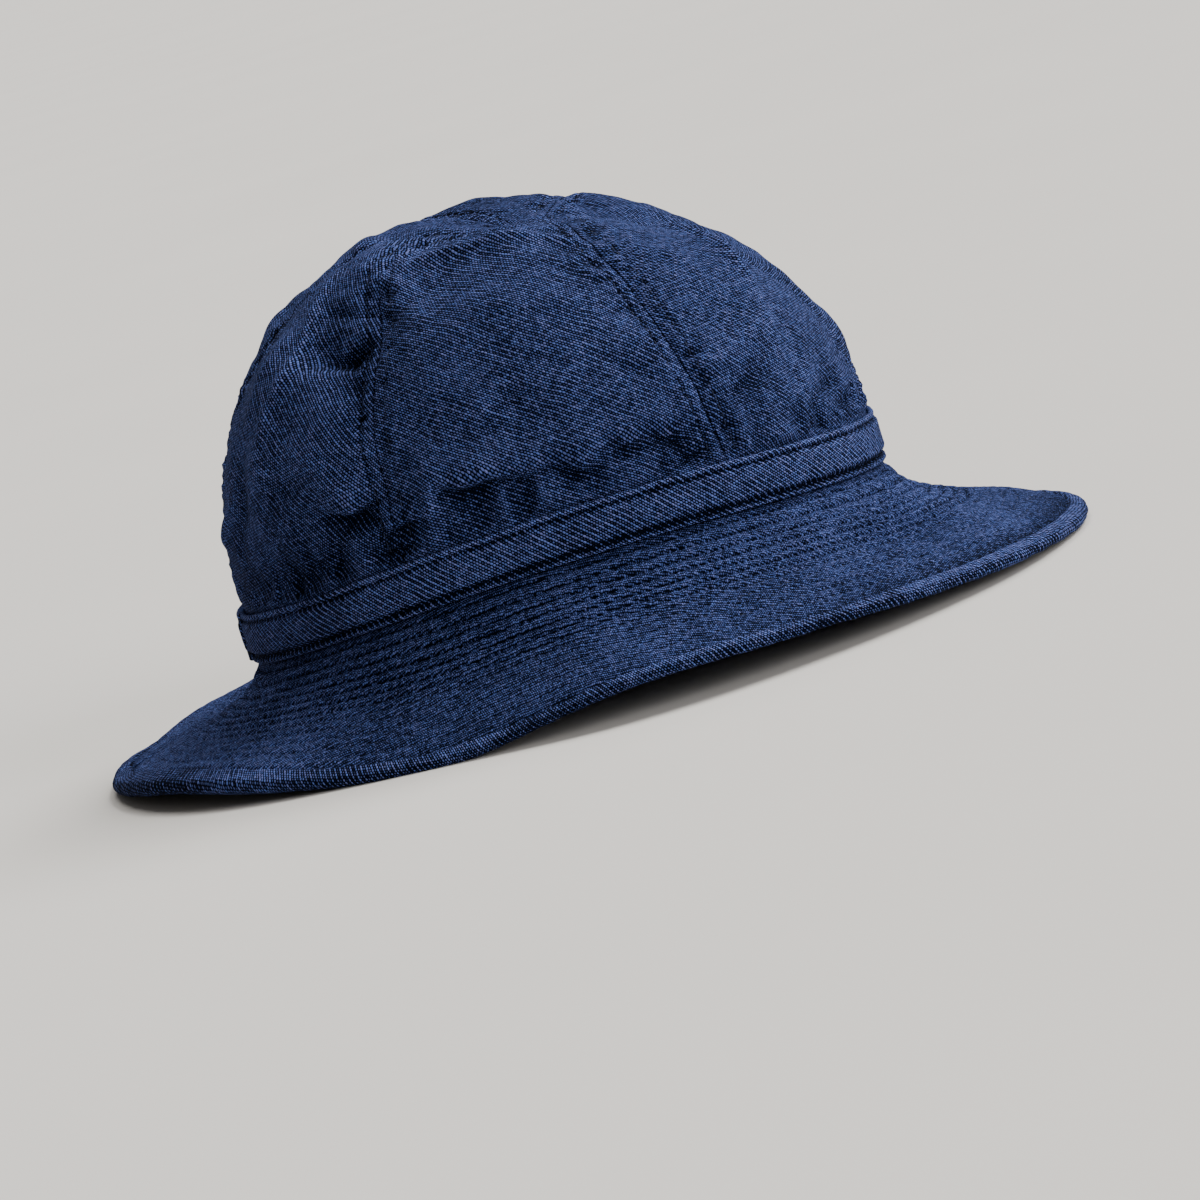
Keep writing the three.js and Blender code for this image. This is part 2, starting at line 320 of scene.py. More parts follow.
@dataclass(frozen=True)
class Tuck:
    """A crease over which cloth hangs: its place, turn and half sizes, how far it stands out and hangs."""

    bearing: float
    level: float
    turn: float
    long: float
    wide: float
    out: float
    hang: float
    # the same for every tuck: the shares of out that it rolls out above the crease and is drawn in below it
    roll_out = 0.3
    draw_in = 0.9
    # and the places and widths of these and of its hanging, as shares of wide
    roll_place = 1.1
    draw_place = -0.25
    draw_wide = (1.3, 0.5)
    hang_place = 0.4
    hang_wide = 0.3
    hang_least = 0.8

    def profile(self, across: Array) -> Array:
        """Its section.

        Args:
            across: distances up across it.

        Returns:
            How far the cloth is out there.
        """
        rolled = self.roll_out * bump(self.roll_place * self.wide, self.wide, across)
        above = across - self.draw_place * self.wide
        drawn = self.draw_in * bump(0.0, self.wide * np.where(above < 0.0, *self.draw_wide), above)
        return self.out * (rolled - drawn)

    def slide(self, across: Array) -> Array:
        """How far the cloth slides down at some distances up across the tuck."""
        width = self.hang_least + self.hang_wide * self.wide
        return self.hang * bump(self.hang_place * self.wide, width, across)


CROWN_WALL = RoundTable(
    ("square", "top", "puff"),
    (
        (-180, 2.8, 145, 2.5),
        (-150, 2.85, 144, 4),
        (-118, 2.75, 142, 4),
        (-90, 2.5, 141, 6),
        (-58, 2.35, 140, 4),
        (-30, 2.5, 127, 3),
        (0, 2.65, 119, 2),
        (30, 2.8, 128, 3),
        (58, 2.5, 142, 3),
        (90, 2.5, 148, 4),
        (118, 2.75, 150, 3),
        (150, 2.8, 148, 3.5),
    ),
)

BRIM_FALL = RoundTable(
    ("width", "root", "middle", "edge"),
    (
        (-180, 64, 66, 20, 14),
        (-150, 61, 48, 24, 14),
        (-112, 62, 42, 39, 38),
        (-86, 62, 36, 32, 28),
        (-66, 63, 38, 30, 28),
        (-45, 64, 44, 28, 28),
        (-22, 67, 53, 24, 25),
        (0, 70, 62, 19, 25),
        (22, 66, 64, 25, 29),
        (45, 62, 60, 32, 31),
        (68, 63, 44, 36, 33),
        (90, 62, 38, 33, 31),
        (118, 62, 44, 36, 36),
        (150, 61, 54, 27, 20),
    ),
)

CENTRE_BACK = SeamLine(-180, -179, -180, -180)
RIGHT_REAR = SeamLine(-118, -123, -135, -136)
RIGHT_FRONT = SeamLine(-58, -63, -69, -66)
CENTRE_FRONT = SeamLine(0, -3, -3, 0)
LEFT_FRONT = SeamLine(58, 63, 68, 66)
LEFT_REAR = SeamLine(118, 122, 127, 124)
LEFT_BACK = SeamLine(180, 181, 180, 180)  # the centre-back seam, met from the left

CROWN_FOLDS = (
    Fold(-137, 0.5, -30, 17, 11, -6),
    Fold(-143, 0.72, -20, 16, 8, 3),
    Fold(-124, 0.17, 0, 18, 8, -3),
    Fold(-113, 0.77, -3, 26, 7, 3.5),
    Fold(-112, 0.6, 0, 18, 9, -2.5),
    Fold(-98, 0.13, 10, 14, 6, -2.5),
    Fold(-66, 0.14, 10, 11, 5, -2),
    Fold(-149, 0.38, 92, 28, 9, 2.5),
    Fold(-165, 0.68, 130, 20, 8, 2),
    Fold(-32, 0.62, 88, 28, 9, 2.5),
    Fold(10, 0.22, 90, 12, 12, 3),
    Fold(106, 0.5, 30, 18, 11, -4),
    Fold(72, 0.14, -10, 16, 6, -2.5),
    Fold(104, 0.72, 5, 24, 8, 2),
)

# smaller creases and ridges of the cloth, over those that the solids have
CLOTH_CREASES = (
    Fold(-139, 0.60, -12, 12, 3, -1.2),
    Fold(-140, 0.07, 0, 34, 11, -3.6),
    Fold(-133, 0.27, 0, 26, 11, 1.8),
    Fold(-134, 0.455, -8, 16, 6, 2.4),
    Fold(-129, 0.52, 20, 6, 4, -2.4),
    Fold(-126, 0.40, -72, 14, 3.5, -2.0),
    Fold(-129, 0.665, -32, 9, 3.2, 1.4),
    Fold(-105, 0.725, -2, 44, 3.5, 2.6),
    Fold(-98, 0.785, 28, 14, 4.0, -2.6),
    Fold(-115, 0.79, -4, 16, 4.0, -1.6),
    Fold(-101, 0.18, 4, 12, 5, 2.2),
    Fold(-110, 0.14, 86, 10, 4, 2.2),
    Fold(-127, 0.20, 0, 9, 4.5, 1.6),
    Fold(-140, 0.22, 12, 14, 5, -2.0),
    Fold(-84, 0.18, 4, 9, 4.0, 1.4),
    Fold(-92, 0.10, 78, 8, 3, 1.4),
    Fold(-99, 0.095, 84, 7, 3, 1.2),
    Fold(-78, 0.115, 10, 5, 3, 1.4),
    Fold(-69, 0.125, -6, 6, 3, 1.4),
    Fold(-86, 0.468, -14, 9, 3.5, -1.2),
    Fold(-88, 0.37, -30, 16, 4, -1.1),
    Fold(-82, 0.30, 55, 20, 6, 1.3),
    Fold(-71, 0.30, -35, 8, 3.0, -1.5),
    Fold(-74, 0.545, -38, 9, 2.6, -1.3),
    Fold(-78, 0.66, -50, 12, 3.0, -1.4),
    Fold(-48, 0.29, 22, 20, 5.0, 1.6),
    Fold(-45, 0.24, 35, 12, 5, -1.6),
    Fold(-33, 0.20, 60, 12, 5, 1.2),
    Fold(-27, 0.16, 14, 9, 2.6, -2.2),
    Fold(-20, 0.12, 5, 8, 2.4, -1.8),
    Fold(-37, 0.42, 92, 30, 5, 0.6),
    Fold(-33, 0.60, 98, 30, 2.6, 2.6),
    Fold(-148, 0.55, 96, 22, 3.2, 1.8),
    Fold(-145, 0.38, 70, 12, 3.0, 1.8),
    Fold(-157, 0.20, 60, 16, 5, -2.0),
    Fold(-168, 0.16, 40, 12, 4, 1.8),
    Fold(45, 0.45, 70, 22, 6, 1.8),
    Fold(88, 0.62, -18, 16, 5, 1.8),
    Fold(140, 0.50, 78, 24, 6, 2.2),
    Fold(165, 0.55, -40, 15, 5, 1.8),
    Fold(100, 0.74, 3, 36, 4.5, 0.8),
    Fold(68, 0.80, 88, 16, 9, 2.2),
    Fold(100, 0.79, 0, 20, 16, -2.0),
    Fold(60, 0.84, -30, 14, 5, -1.4),
    Fold(170, 0.82, 20, 14, 5, -1.4),
    Fold(-168, 0.80, 0, 40, 16, 3.0),
)

CLOTH_TUCKS = (
    Tuck(-132.5, 0.515, -4, 9, 7.0, 3.4, 1.5),
    Tuck(-125.5, 0.600, -30, 7, 3.5, 1.1, 0.7),
    Tuck(-126.5, 0.160, 0, 8, 5.0, 4.4, 2.6),
    Tuck(-117.5, 0.110, 0, 7, 3.5, 2.6, 1.4),
    Tuck(-119, 0.078, -4, 6, 2.5, 1.6, 1.0),
    Tuck(-102.5, 0.146, -4, 10, 3.4, 3.6, 2.0),
    Tuck(-91, 0.148, 0, 15, 2.6, 1.4, 0.9),
    Tuck(-84, 0.134, 2, 6, 4.0, 2.8, 1.6),
    Tuck(-75, 0.150, -6, 4.5, 4.0, 3.0, 1.6),
    Tuck(-67.5, 0.148, -10, 5, 3.5, 2.8, 1.5),
    Tuck(-63.5, 0.108, 0, 4, 3.0, 2.2, 1.2),
    Tuck(-92.5, 0.310, -8, 5, 3.0, 0.8, 0.5),
    Tuck(-98, 0.265, -20, 5, 3.0, 0.7, 0.5),
    Tuck(-69, 0.450, 2, 5, 2.5, 0.9, 0.5),
    Tuck(-73, 0.605, 4, 5, 2.5, 0.9, 0.5),
    Tuck(-50, 0.215, 12, 14, 4.0, 1.0, 0.6),
    Tuck(28, 0.14, -8, 11, 4.0, 1.8, 1.2),
    Tuck(52, 0.14, 8, 8, 3.5, 1.8, 1.2),
    Tuck(88, 0.14, -3, 13, 4.5, 2.4, 1.5),
    Tuck(99, 0.45, 16, 15, 5.0, 2.0, 1.2),
    Tuck(128, 0.135, 6, 11, 4.0, 2.2, 1.4),
    Tuck(152, 0.33, 20, 14, 5.0, 1.6, 1.0),
    Tuck(166, 0.13, 4, 10, 4.0, 1.8, 1.2),
)


@dataclass(frozen=True)
class HatForm:
    """The smooth surfaces of the hat's solids: the crown's wall, the sewn line and the brim's top."""

    length: float = 210.0  # foot of the crown, front to back
    width: float = 176.0
    shift: float = -2.1  # its middle from the origin, along X
    apex_x: float = 15.0
    apex_z: float = 137.0
    apex_pull: float = 4.0
    dished: float = 0.5
    slack: float = 0.8
    puff_lift: float = 1.1
    puff_flat: float = 0.8
    slack_lift: float = 0.6
    fold_start: float = 0.07
    fold_reach: float = 30.0
    sewn_side: float = 43.0
    sewn_dip: float = 11.2
    sewn_tilt: float = 3.3
    band_height: float = 16.0
    root_share: float = 0.18
    gap: float = 0.3
    brim_steps: int = 241  # in which the brim's slope is followed outward
    near_turn: float = 0.5  # how far off the wall is felt for its directions: bearing, level and last level
    near_level: float = 0.01
    last_level: float = 0.999
    tuck_stray: float = 2.2

    def sewn_height(self, bearing: Array) -> Array:
        """Height of the sewn line at some bearings."""
        forward = np.cos(np.radians(bearing))
        return self.sewn_side - self.sewn_dip * forward**2 + self.sewn_tilt * forward

    def wall(self, bearing: Array, level: Array) -> Array:
        """Points of the crown's smooth outer wall.

        Args:
            bearing: their bearings.
            level: their levels.

        Returns:
            The points.
        """
        square = CROWN_WALL.at("square", bearing)
        climb = level * np.pi / 2
        reach = np.cos(climb) ** (2 / square)
        rise = np.sin(climb) ** (2 / square)
        sunk = smoothstep(0.0, self.dished, reach)
        top = self.apex_z + (CROWN_WALL.at("top", bearing) - self.apex_z) * sunk
        foot = self.sewn_height(bearing)
        middle = self.shift + (self.apex_x - self.shift) * rise**self.apex_pull
        turn = np.radians(bearing)
        forward = middle + self.length / 2 * reach * np.cos(turn)
        leftward = self.width / 2 * reach * np.sin(turn)
        return np.stack([forward, leftward, foot + (top - foot) * rise], axis=-1)

    def foot(self, bearing: Array) -> Array:
        """Points of the wall on the sewn line."""
        return self.wall(bearing, bearing * 0.0)

    def level_at_rise(self, bearing: Array, height: float) -> Array:
        """The level at which the wall is so far above the sewn line.

        Args:
            bearing: the bearings.
            height: how far above.

        Returns:
            The levels.
        """
        full = CROWN_WALL.at("top", bearing) - self.sewn_height(bearing)
        return np.arcsin((height / full) ** (CROWN_WALL.at("square", bearing) / 2)) * 2 / np.pi

    def axes(self, bearing: Array, level: Array) -> tuple[Array, Array, Array]:
        """The wall's own directions.

        Args:
            bearing: where, round the crown.
            level: where, up the crown.

        Returns:
            The directions level along the cloth, up the cloth, and out of it.
        """
        along = unit(self.wall(bearing + self.near_turn, level) - self.wall(bearing - self.near_turn, level))
        above = self.wall(bearing, np.minimum(level + self.near_level, self.last_level))
        below = self.wall(bearing, np.maximum(level - self.near_level, 0.0))
        out = unit(np.cross(along, above - below))
        return along, np.cross(out, along), out

    def beside(self, points: Array, fold: Fold | Tuck) -> tuple[Array, Array]:
        """Where points of the wall lie beside a fold or tuck.

        Args:
            points: the points.
            fold: the fold or tuck.

        Returns:
            How strong it is there lengthwise, and the distances up across it.
        """
        bearing = np.float64(fold.bearing)
        level = np.float64(fold.level)
        along, up, out = self.axes(bearing, level)
        away = points - self.wall(bearing, level)
        turn = np.radians(fold.turn)
        right = away @ along
        high = away @ up
        lengthwise = (np.cos(turn) * right + np.sin(turn) * high) / fold.long
        deep = (away @ out) / self.fold_reach
        return np.exp(-(lengthwise**2 + deep**2)), np.cos(turn) * high - np.sin(turn) * right

    def fold_offset(self, points: Array, folds: tuple[Fold, ...], crisp: bool = False) -> Array:
        """How far the dents and folds move points of the wall.

        Args:
            points: the points.
            folds: the dents and folds.
            crisp: whether they come to an edge.

        Returns:
            The distances outward.
        """
        total = np.zeros(points.shape[:-1])
        for fold in folds:
            strength, across = self.beside(points, fold)
            total += fold.out * strength * fold.profile(across, crisp)
        return total

    def tuck_offset(self, points: Array, tucks: tuple[Tuck, ...], stray: Array) -> tuple[Array, Array]:
        """How far the tucks move points of the wall.

        Args:
            points: the points.
            tucks: the tucks.
            stray: how they stray from straight lines, from -1 to 1.

        Returns:
            The distances outward and down the cloth.
        """
        outward = np.zeros(points.shape[:-1])
        downward = np.zeros(points.shape[:-1])
        for tuck in tucks:
            strength, across = self.beside(points, tuck)
            across = across + self.tuck_stray * stray
            outward += strength * tuck.profile(across)
            downward += strength * tuck.slide(across)
        return outward, downward

    def stand_out(self, bearing: Array, level: Array, swell: Array) -> Array:
        """How far the cloth of the crown swells, sags and folds out of its smooth wall.

        Args:
            bearing: where, round the crown.
            level: where, up the crown.
            swell: share of the swell there, from 0 at the seams to 1 between.

        Returns:
            The distances outward.
        """
        held = self.level_at_rise(bearing, self.band_height)
        free = np.clip((level - held) / (1 - held), 0.0, 1.0)
        arch = np.sin(np.pi * free**self.puff_lift) ** self.puff_flat
        puff = CROWN_WALL.at("puff", bearing) * swell * arch
        slack = self.slack * np.sin(np.pi * free**self.slack_lift)
        folds = self.fold_offset(self.wall(bearing, level), CROWN_FOLDS)
        return puff + slack + folds * smoothstep(0.0, self.fold_start, free)

    def outward(self, bearing: Array) -> Array:
        """The level directions straight out of the sewn line.

        Args:
            bearing: the bearings.

        Returns:
            The directions there.
        """
        turn = np.radians(bearing)
        flat = np.stack([np.cos(turn) / self.length, np.sin(turn) / self.width, turn * 0], axis=-1)
        return unit(flat)

    def brim_top(self, bearing: Array, reach: Array) -> tuple[Array, Array]:
        """The brim's smooth upper face.

        Args:
            bearing: the bearings of its sections.
            reach: for each section, distances along the cloth from the sewn line.

        Returns:
            The points, and the directions out of the cloth there.
        """
        names = ("width", "root", "middle", "edge")
        width, root, middle, edge = (BRIM_FALL.at(name, bearing)[:, None] for name in names)
        steps = np.linspace(0.0, 1.0, self.brim_steps)
        bend = (root - middle) * np.exp(-((steps / self.root_share) ** 2))
        slope = np.radians(middle + (edge - middle) * steps + bend)
        run, drop = (self._summed(part, width * steps[1]) for part in (np.cos(slope), np.sin(slope)))
        runs, drops, slopes = (
            np.stack([np.interp(share, steps, row) for share, row in zip(reach / width, values)])
            for values in (run, drop, slope)
        )
        out = self.outward(bearing)[:, None, :]
        points = self.foot(bearing)[:, None, :] + out * runs[..., None]
        points[..., 2] = self.sewn_height(bearing)[:, None] - self.gap - drops
        normals = out * np.sin(slopes)[..., None]
        normals[..., 2] = np.cos(slopes)
        return points, normals

    @staticmethod
    def _summed(share: Array, stride: Array) -> Array:
        """How far each section has gone at each step, when every stride counts by a share."""
        gone = np.cumsum(share * stride, axis=1) - share * stride / 2
        return gone - gone[:, :1]


class Grain(Enum):
    """How the twill's ribs are turned on each kind of piece, in degrees up from its own level line."""

    CROWN = -32.0
    BAND = -43.0
    BRIM = -8.0
    EDGE = 60.0

    def pattern(self, right: Array, up: Array, lean: float = 0.0) -> Array:
        """Places on the flat cloth.

        Args:
            right: distances along the piece's level line.
            up: distances up the piece.
            lean: how many degrees more the ribs of this piece are turned.

        Returns:
            Distances along and across the ribs.
        """
        turn = np.radians(self.value + lean)
        along = right * np.cos(turn) + up * np.sin(turn)
        across = up * np.cos(turn) - right * np.sin(turn)
        return np.stack([along, across], axis=-1)


@dataclass(frozen=True)
class Cloud:
    """Noise in a finish: how many humps there are to a unit, and how many finer layers."""

    scale: float
    detail: float


class NodeSheet:
    """A material in the making: adds nodes to it, links them and gives it its surface."""

    def __init__(self, name: str) -> None:
        """Starts a material of nodes.

        Args:
            name: the material's name.
        """
        self.material = bpy.data.materials.new(name)
        self.material.use_nodes = True
        self.nodes = self.material.node_tree.nodes
        self.links = self.material.node_tree.links

    def put(self, source: object, socket: bpy.types.NodeSocket) -> None:
        """Puts something into a node's input.

        Args:
            source: an output, a number or a row of numbers.
            socket: the input.
        """
        if isinstance(source, bpy.types.NodeSocket):
            self.links.new(source, socket)
        elif isinstance(source, tuple):
            socket.default_value = (*source, 1.0)[: len(socket.default_value)]
        else:
            socket.default_value = source

    def add(self, kind: str, inputs: dict | None = None, **options: object) -> bpy.types.Node:
        """Adds a node.

        Args:
            kind: its type.
            inputs: what goes into it, by name or index.
            options: its settings.

        Returns:
            The node.
        """
        node = self.nodes.new(kind)
        for name, value in options.items():
            setattr(node, name, value)
        for name, value in (inputs or {}).items():
            self.put(value, node.inputs[name])
        return node

    def math(self, operation: str, *values: object, clamp: bool = False) -> bpy.types.NodeSocket:
        """A Math node's result.

        Args:
            operation: what it does.
            values: its inputs.
            clamp: whether the result is kept from 0 to 1.

        Returns:
            Its output.
        """
        node = self.add("ShaderNodeMath", dict(enumerate(values)), operation=operation, use_clamp=clamp)
        return node.outputs[0]

    def plus(self, base: object, value: object, times: object, clamp: bool = False) -> bpy.types.NodeSocket:
        """A base with so many times a value on top.

        Args:
            base: the base.
            value: what is added.
            times: how many times it is.
            clamp: whether the result is kept from 0 to 1.

        Returns:
            The sum.
        """
        return self.math("MULTIPLY_ADD", value, times, base, clamp=clamp)

    def vector(self, operation: str, *values: object) -> bpy.types.NodeSocket:
        """A Vector Math node's result.

        Args:
            operation: what it does.
            values: its inputs.

        Returns:
            Its output.
        """
        return self.add("ShaderNodeVectorMath", dict(enumerate(values)), operation=operation).outputs[0]

    def noise(self, place: object, cloud: Cloud) -> dict:
        """Noise from 0 to 1 at a place.

        Args:
            place: where.
            cloud: what noise it is.

        Returns:
            The noise node's outputs, Fac and Color.
        """
        inputs = {"Vector": place, "Scale": cloud.scale, "Detail": cloud.detail}
        return self.add("ShaderNodeTexNoise", inputs).outputs

    def mix(self, share: object, low: object, high: object) -> bpy.types.NodeSocket:
        """A colour between two.

        Args:
            share: how far it is towards the second.
            low: the first colour.
            high: the second.

        Returns:
            The colour.
        """
        node = self.add("ShaderNodeMix", data_type="RGBA")
        sockets = {item.identifier: item for item in (*node.inputs, *node.outputs)}
        for name, value in (("Factor_Float", share), ("A_Color", low), ("B_Color", high)):
            self.put(value, sockets[name])
        return sockets["Result_Color"]

    def hump(self, place: bpy.types.NodeSocket) -> bpy.types.NodeSocket:
        """A round hump in every unit of a coordinate, from 0 at its ends to 1 in the middle."""
        part = self.math("FRACT", place)
        return self.math("SINE", self.math("MULTIPLY", part, np.pi))

    def cloth_map(self) -> bpy.types.NodeSocket:
        """Places on the flat cloth."""
        return self.add("ShaderNodeUVMap", uv_map=CLOTH_MAP).outputs["UV"]

    def place(self) -> bpy.types.NodeSocket:
        """Places in space."""
        return self.add("ShaderNodeTexCoord").outputs["Object"]

    def surface(
        self, settings: dict, height: object = None, depth: float = 0.0, strength: float = 0.0
    ) -> bpy.types.Material:
        """Gives the material its surface.

        Args:
            settings: what goes into the shader, by name.
            height: how high the surface stands, if it isn't smooth.
            depth: how far a height of 1 is, in metres.
            strength: how far the heights show.

        Returns:
            The material.
        """
        shader = next(node for node in self.nodes if node.type == "BSDF_PRINCIPLED")
        for name, value in settings.items():
            self.put(value, shader.inputs[name])
        if height is not None:
            bumps = self.add("ShaderNodeBump", {"Height": height, "Strength": strength, "Distance": depth})
            self.put(bumps.outputs["Normal"], shader.inputs["Normal"])
        return self.material


@dataclass(frozen=True)
class Twill:
    """Indigo twill: staggered lines of bright yarn floats over a dark ground, uneven from yarn to yarn."""

    name: str = "indigo twill"
    ground: Triple = (0.0009, 0.0019, 0.0068)
    yarn: Triple = (0.0158, 0.0285, 0.1040)
    pale: Triple = (0.1180, 0.1900, 0.5600)
    lilac: Triple = (0.1600, 0.1900, 0.4700)
    line: float = 0.76  # from line to line of floats, in millimetres; every second one lies lower
    float_length: float = 1.0  # from float to float along a line
    low_line: float = 0.66  # how far the lower lines show
    low_line_range: float = 0.6  # how much that differs over the cloth
    between: float = 0.3  # how high a line stands between its floats
    uneven: float = 0.5  # how far the floats differ
    fade: float = 0.0  # how much darker the whole is
    fuzzy: float = 0.5  # how grainy it is
    grain: float = 1.7  # how many grains there are to a millimetre
    wobble: Triple = (0.4, 0.2, 0.0)  # how far floats stray, along and across the ribs
    wander: Triple = (1.6, 1.6, 0.0)  # and how far whole lines do
    # how far the yarn shows over the ground
    contrast: float = 3.7
    hidden: float = 1.12
    # painted shade: how much less the yarn shows where the wear attribute is below 0, in grooves, dents and
    # seams
    groove_painted_shade: float = 0.25
    # how pale it is, by its luck, its line, streaks, fading, its height, and its wear with the painted shade
    # where that is below 0
    chance_light: float = 0.45
    line_light: float = 0.05
    streak_light: float = 0.08
    patch_light: float = 0.4
    height_light: float = 0.5
    wear_and_shade_light: float = 0.32
    least_light: float = 0.35
    streaks: Triple = (0.10, 0.9, 1.0)  # to a millimetre, along and across the ribs
    # the clouds that lines and floats stray by, lines are alike by, and streaks, patches and grain come from
    wander_cloud: Cloud = Cloud(0.07, 2.0)
    wobble_cloud: Cloud = Cloud(0.75, 1.0)
    alike_cloud: Cloud = Cloud(0.06, 1.0)
    streak_cloud: Cloud = Cloud(1.0, 1.0)
    patch_cloud: Cloud = Cloud(0.03, 4.0)
    grain_layers: float = 3.0
    fuzz_height: float = 0.6
    depth: float = 0.0003
    bumpiness: float = 0.85
    roughness: float = 0.9
    specular: float = 0.03
    sheen: float = 0.02
    sheen_roughness: float = 0.4
    sheen_tint: Triple = (0.3, 0.45, 0.9)

    def _floats(self, sheet: NodeSheet, cloth: object) -> tuple[object, ...]:
        """The lattice of floats.

        Args:
            sheet: the material's nodes.
            cloth: places on the flat cloth.

        Returns:
            How high the floats stand, two chance values for each float, one for each line, and the places
            on the cloth with their strays.
        """
        wander = sheet.noise(cloth, self.wander_cloud)["Color"]
        wobble = sheet.noise(cloth, self.wobble_cloud)["Color"]
        place = sheet.vector("MULTIPLY_ADD", wander, self.wander, cloth)
        place = sheet.vector("MULTIPLY_ADD", wobble, self.wobble, place)
        alike = sheet.noise(cloth, self.alike_cloud)["Fac"]
        axes = sheet.add("ShaderNodeSeparateXYZ", {"Vector": place}).outputs
        lines = sheet.math("DIVIDE", axes["Y"], self.line)
        line = sheet.math("FLOOR", lines)
        floats = sheet.plus(sheet.math("DIVIDE", axes["X"], self.float_length), line, 0.5)
        cell = sheet.add("ShaderNodeCombineXYZ", {"X": sheet.math("FLOOR", floats), "Y": line}).outputs[0]
        drawn = sheet.add("ShaderNodeTexWhiteNoise", {"Vector": cell}).outputs
        tint = sheet.add("ShaderNodeSeparateXYZ", {"Vector": drawn["Color"]}).outputs["Y"]
        yarn = sheet.add("ShaderNodeTexWhiteNoise", {"W": line}, noise_dimensions="1D").outputs["Value"]
        lower = sheet.math("FLOORED_MODULO", line, 2.0)
        shown = sheet.plus(self.low_line - self.low_line_range / 2, alike, self.low_line_range)
        strength = sheet.plus(1.0, lower, sheet.math("SUBTRACT", shown, 1.0))
        bead = sheet.plus(self.between, sheet.hump(floats), 1.0 - self.between)
        relief = sheet.math("MULTIPLY", sheet.math("MULTIPLY", sheet.hump(lines), bead), strength)
        return relief, drawn["Value"], tint, yarn, place

    def _shown(self, sheet: NodeSheet, relief: object, chance: object, fuzz: object, worn: object) -> object:
        """How far the yarn shows over the ground.

        Args:
            sheet: the material's nodes.
            relief: how high the floats stand.
            chance: a chance value for each float.
            fuzz: the cloth's grain.
            worn: its wear, and below 0 its painted shade in grooves and dents.

        Returns:
            A share from 0 to 1.
        """
        uneven = sheet.plus(1.0 - self.uneven / 2, chance, self.uneven)
        shown = sheet.math("MULTIPLY", relief, uneven)
        # painted shade where the wear attribute is below 0
        shown = sheet.plus(shown, sheet.math("MINIMUM", worn, 0.0), self.groove_painted_shade)
        shown = sheet.plus(-self.hidden - self.fuzzy / 2, shown, self.contrast)
        return sheet.plus(shown, fuzz, self.fuzzy, clamp=True)

    def material(self) -> bpy.types.Material:
        """The finish as a material of nodes.

        Returns:
            The material.
        """
        sheet = NodeSheet(self.name)
        cloth = sheet.cloth_map()
        relief, chance, tint, yarn, place = self._floats(sheet, cloth)
        streak = sheet.noise(sheet.vector("MULTIPLY", place, self.streaks), self.streak_cloud)["Fac"]
        patch = sheet.noise(cloth, self.patch_cloud)["Fac"]
        fuzz = sheet.noise(cloth, Cloud(self.grain, self.grain_layers))["Fac"]
        # wear above 0, and painted shade below 0
        worn = sheet.add("ShaderNodeAttribute", attribute_name=WEAR_AND_SHADE).outputs["Fac"]
        light = sheet.math("MULTIPLY", sheet.math("POWER", chance, 2.0), self.chance_light)
        for value, times in (
            (yarn, self.line_light),
            (streak, self.streak_light),
            (patch, self.patch_light),
            (fuzz, self.fuzzy),
            (relief, self.height_light),
            (worn, self.wear_and_shade_light),
        ):
            light = sheet.plus(light, value, times)
        light = sheet.math("SUBTRACT", light, self.least_light + self.fade + self.fuzzy / 2, clamp=True)
        pale = sheet.mix(tint, self.pale, self.lilac)
        shown = self._shown(sheet, relief, chance, fuzz, worn)
        settings = {
            "Base Color": sheet.mix(shown, self.ground, sheet.mix(light, self.yarn, pale)),
            "Roughness": self.roughness,
            "Specular IOR Level": self.specular,
            "Sheen Weight": self.sheen,
            "Sheen Roughness": self.sheen_roughness,
            "Sheen Tint": self.sheen_tint,
        }
        height = sheet.plus(relief, fuzz, self.fuzz_height)
        return sheet.surface(settings, height, self.depth, self.bumpiness)


@dataclass(frozen=True)
class Thread:
    """Sewing thread dyed with the cloth: two twisted plies with a soft shine, and a painted highlight on each
    ply's crest with painted shade between them.
    """

    name: str = "dyed thread"
    # the colours of the painted shade between the plies and of the painted highlight on their crests
    deep: Triple = (0.004, 0.007, 0.020)
    ply_highlight: Triple = (0.028, 0.045, 0.125)
    ply: float = 0.55  # from ply to ply along the thread, in millimetres
    unevenness: Cloud = Cloud(700.0, 2.0)
    least_light: float = 0.2
    uneven_light: float = 1.2
    depth: float = 0.0001
    bumpiness: float = 0.6
    roughness: float = 0.7
    specular: float = 0.3

    def material(self) -> bpy.types.Material:
        """The finish as a material of nodes.

        Returns:
            The material.
        """
        sheet = NodeSheet(self.name)
        axes = sheet.add("ShaderNodeSeparateXYZ", {"Vector": sheet.cloth_map()}).outputs
        ply = sheet.hump(sheet.math("ADD", sheet.math("DIVIDE", axes["X"], self.ply), axes["Y"]))
        uneven = sheet.noise(sheet.place(), self.unevenness)["Fac"]
        # painted highlight along each ply's crest, uneven along the thread, fading to painted shade between
        # the plies
        painted_shine = sheet.plus(self.least_light, uneven, self.uneven_light)
        light = sheet.math("MULTIPLY", ply, painted_shine, clamp=True)
        colour = sheet.mix(light, self.deep, self.ply_highlight)
        settings = {"Base Color": colour, "Roughness": self.roughness, "Specular IOR Level": self.specular}
        return sheet.surface(settings, ply, self.depth, self.bumpiness)


@dataclass(frozen=True)
class Matt:
    """A plain pale surface for the studio's floor, hardly uneven."""

    name: str
    tone: Triple
    unevenness: Cloud = Cloud(3.0, 3.0)
    darkest: float = 0.94
    roughness: float = 0.9
    specular: float = 0.2

    def material(self) -> bpy.types.Material:
        """The finish as a material of nodes.

        Returns:
            The material.
        """
        sheet = NodeSheet(self.name)
        cloud = sheet.noise(sheet.place(), self.unevenness)["Fac"]
        darker = tuple(self.darkest * part for part in self.tone)
        colour = sheet.mix(cloud, darker, self.tone)
        settings = {"Base Color": colour, "Roughness": self.roughness, "Specular IOR Level": self.specular}
        return sheet.surface(settings)


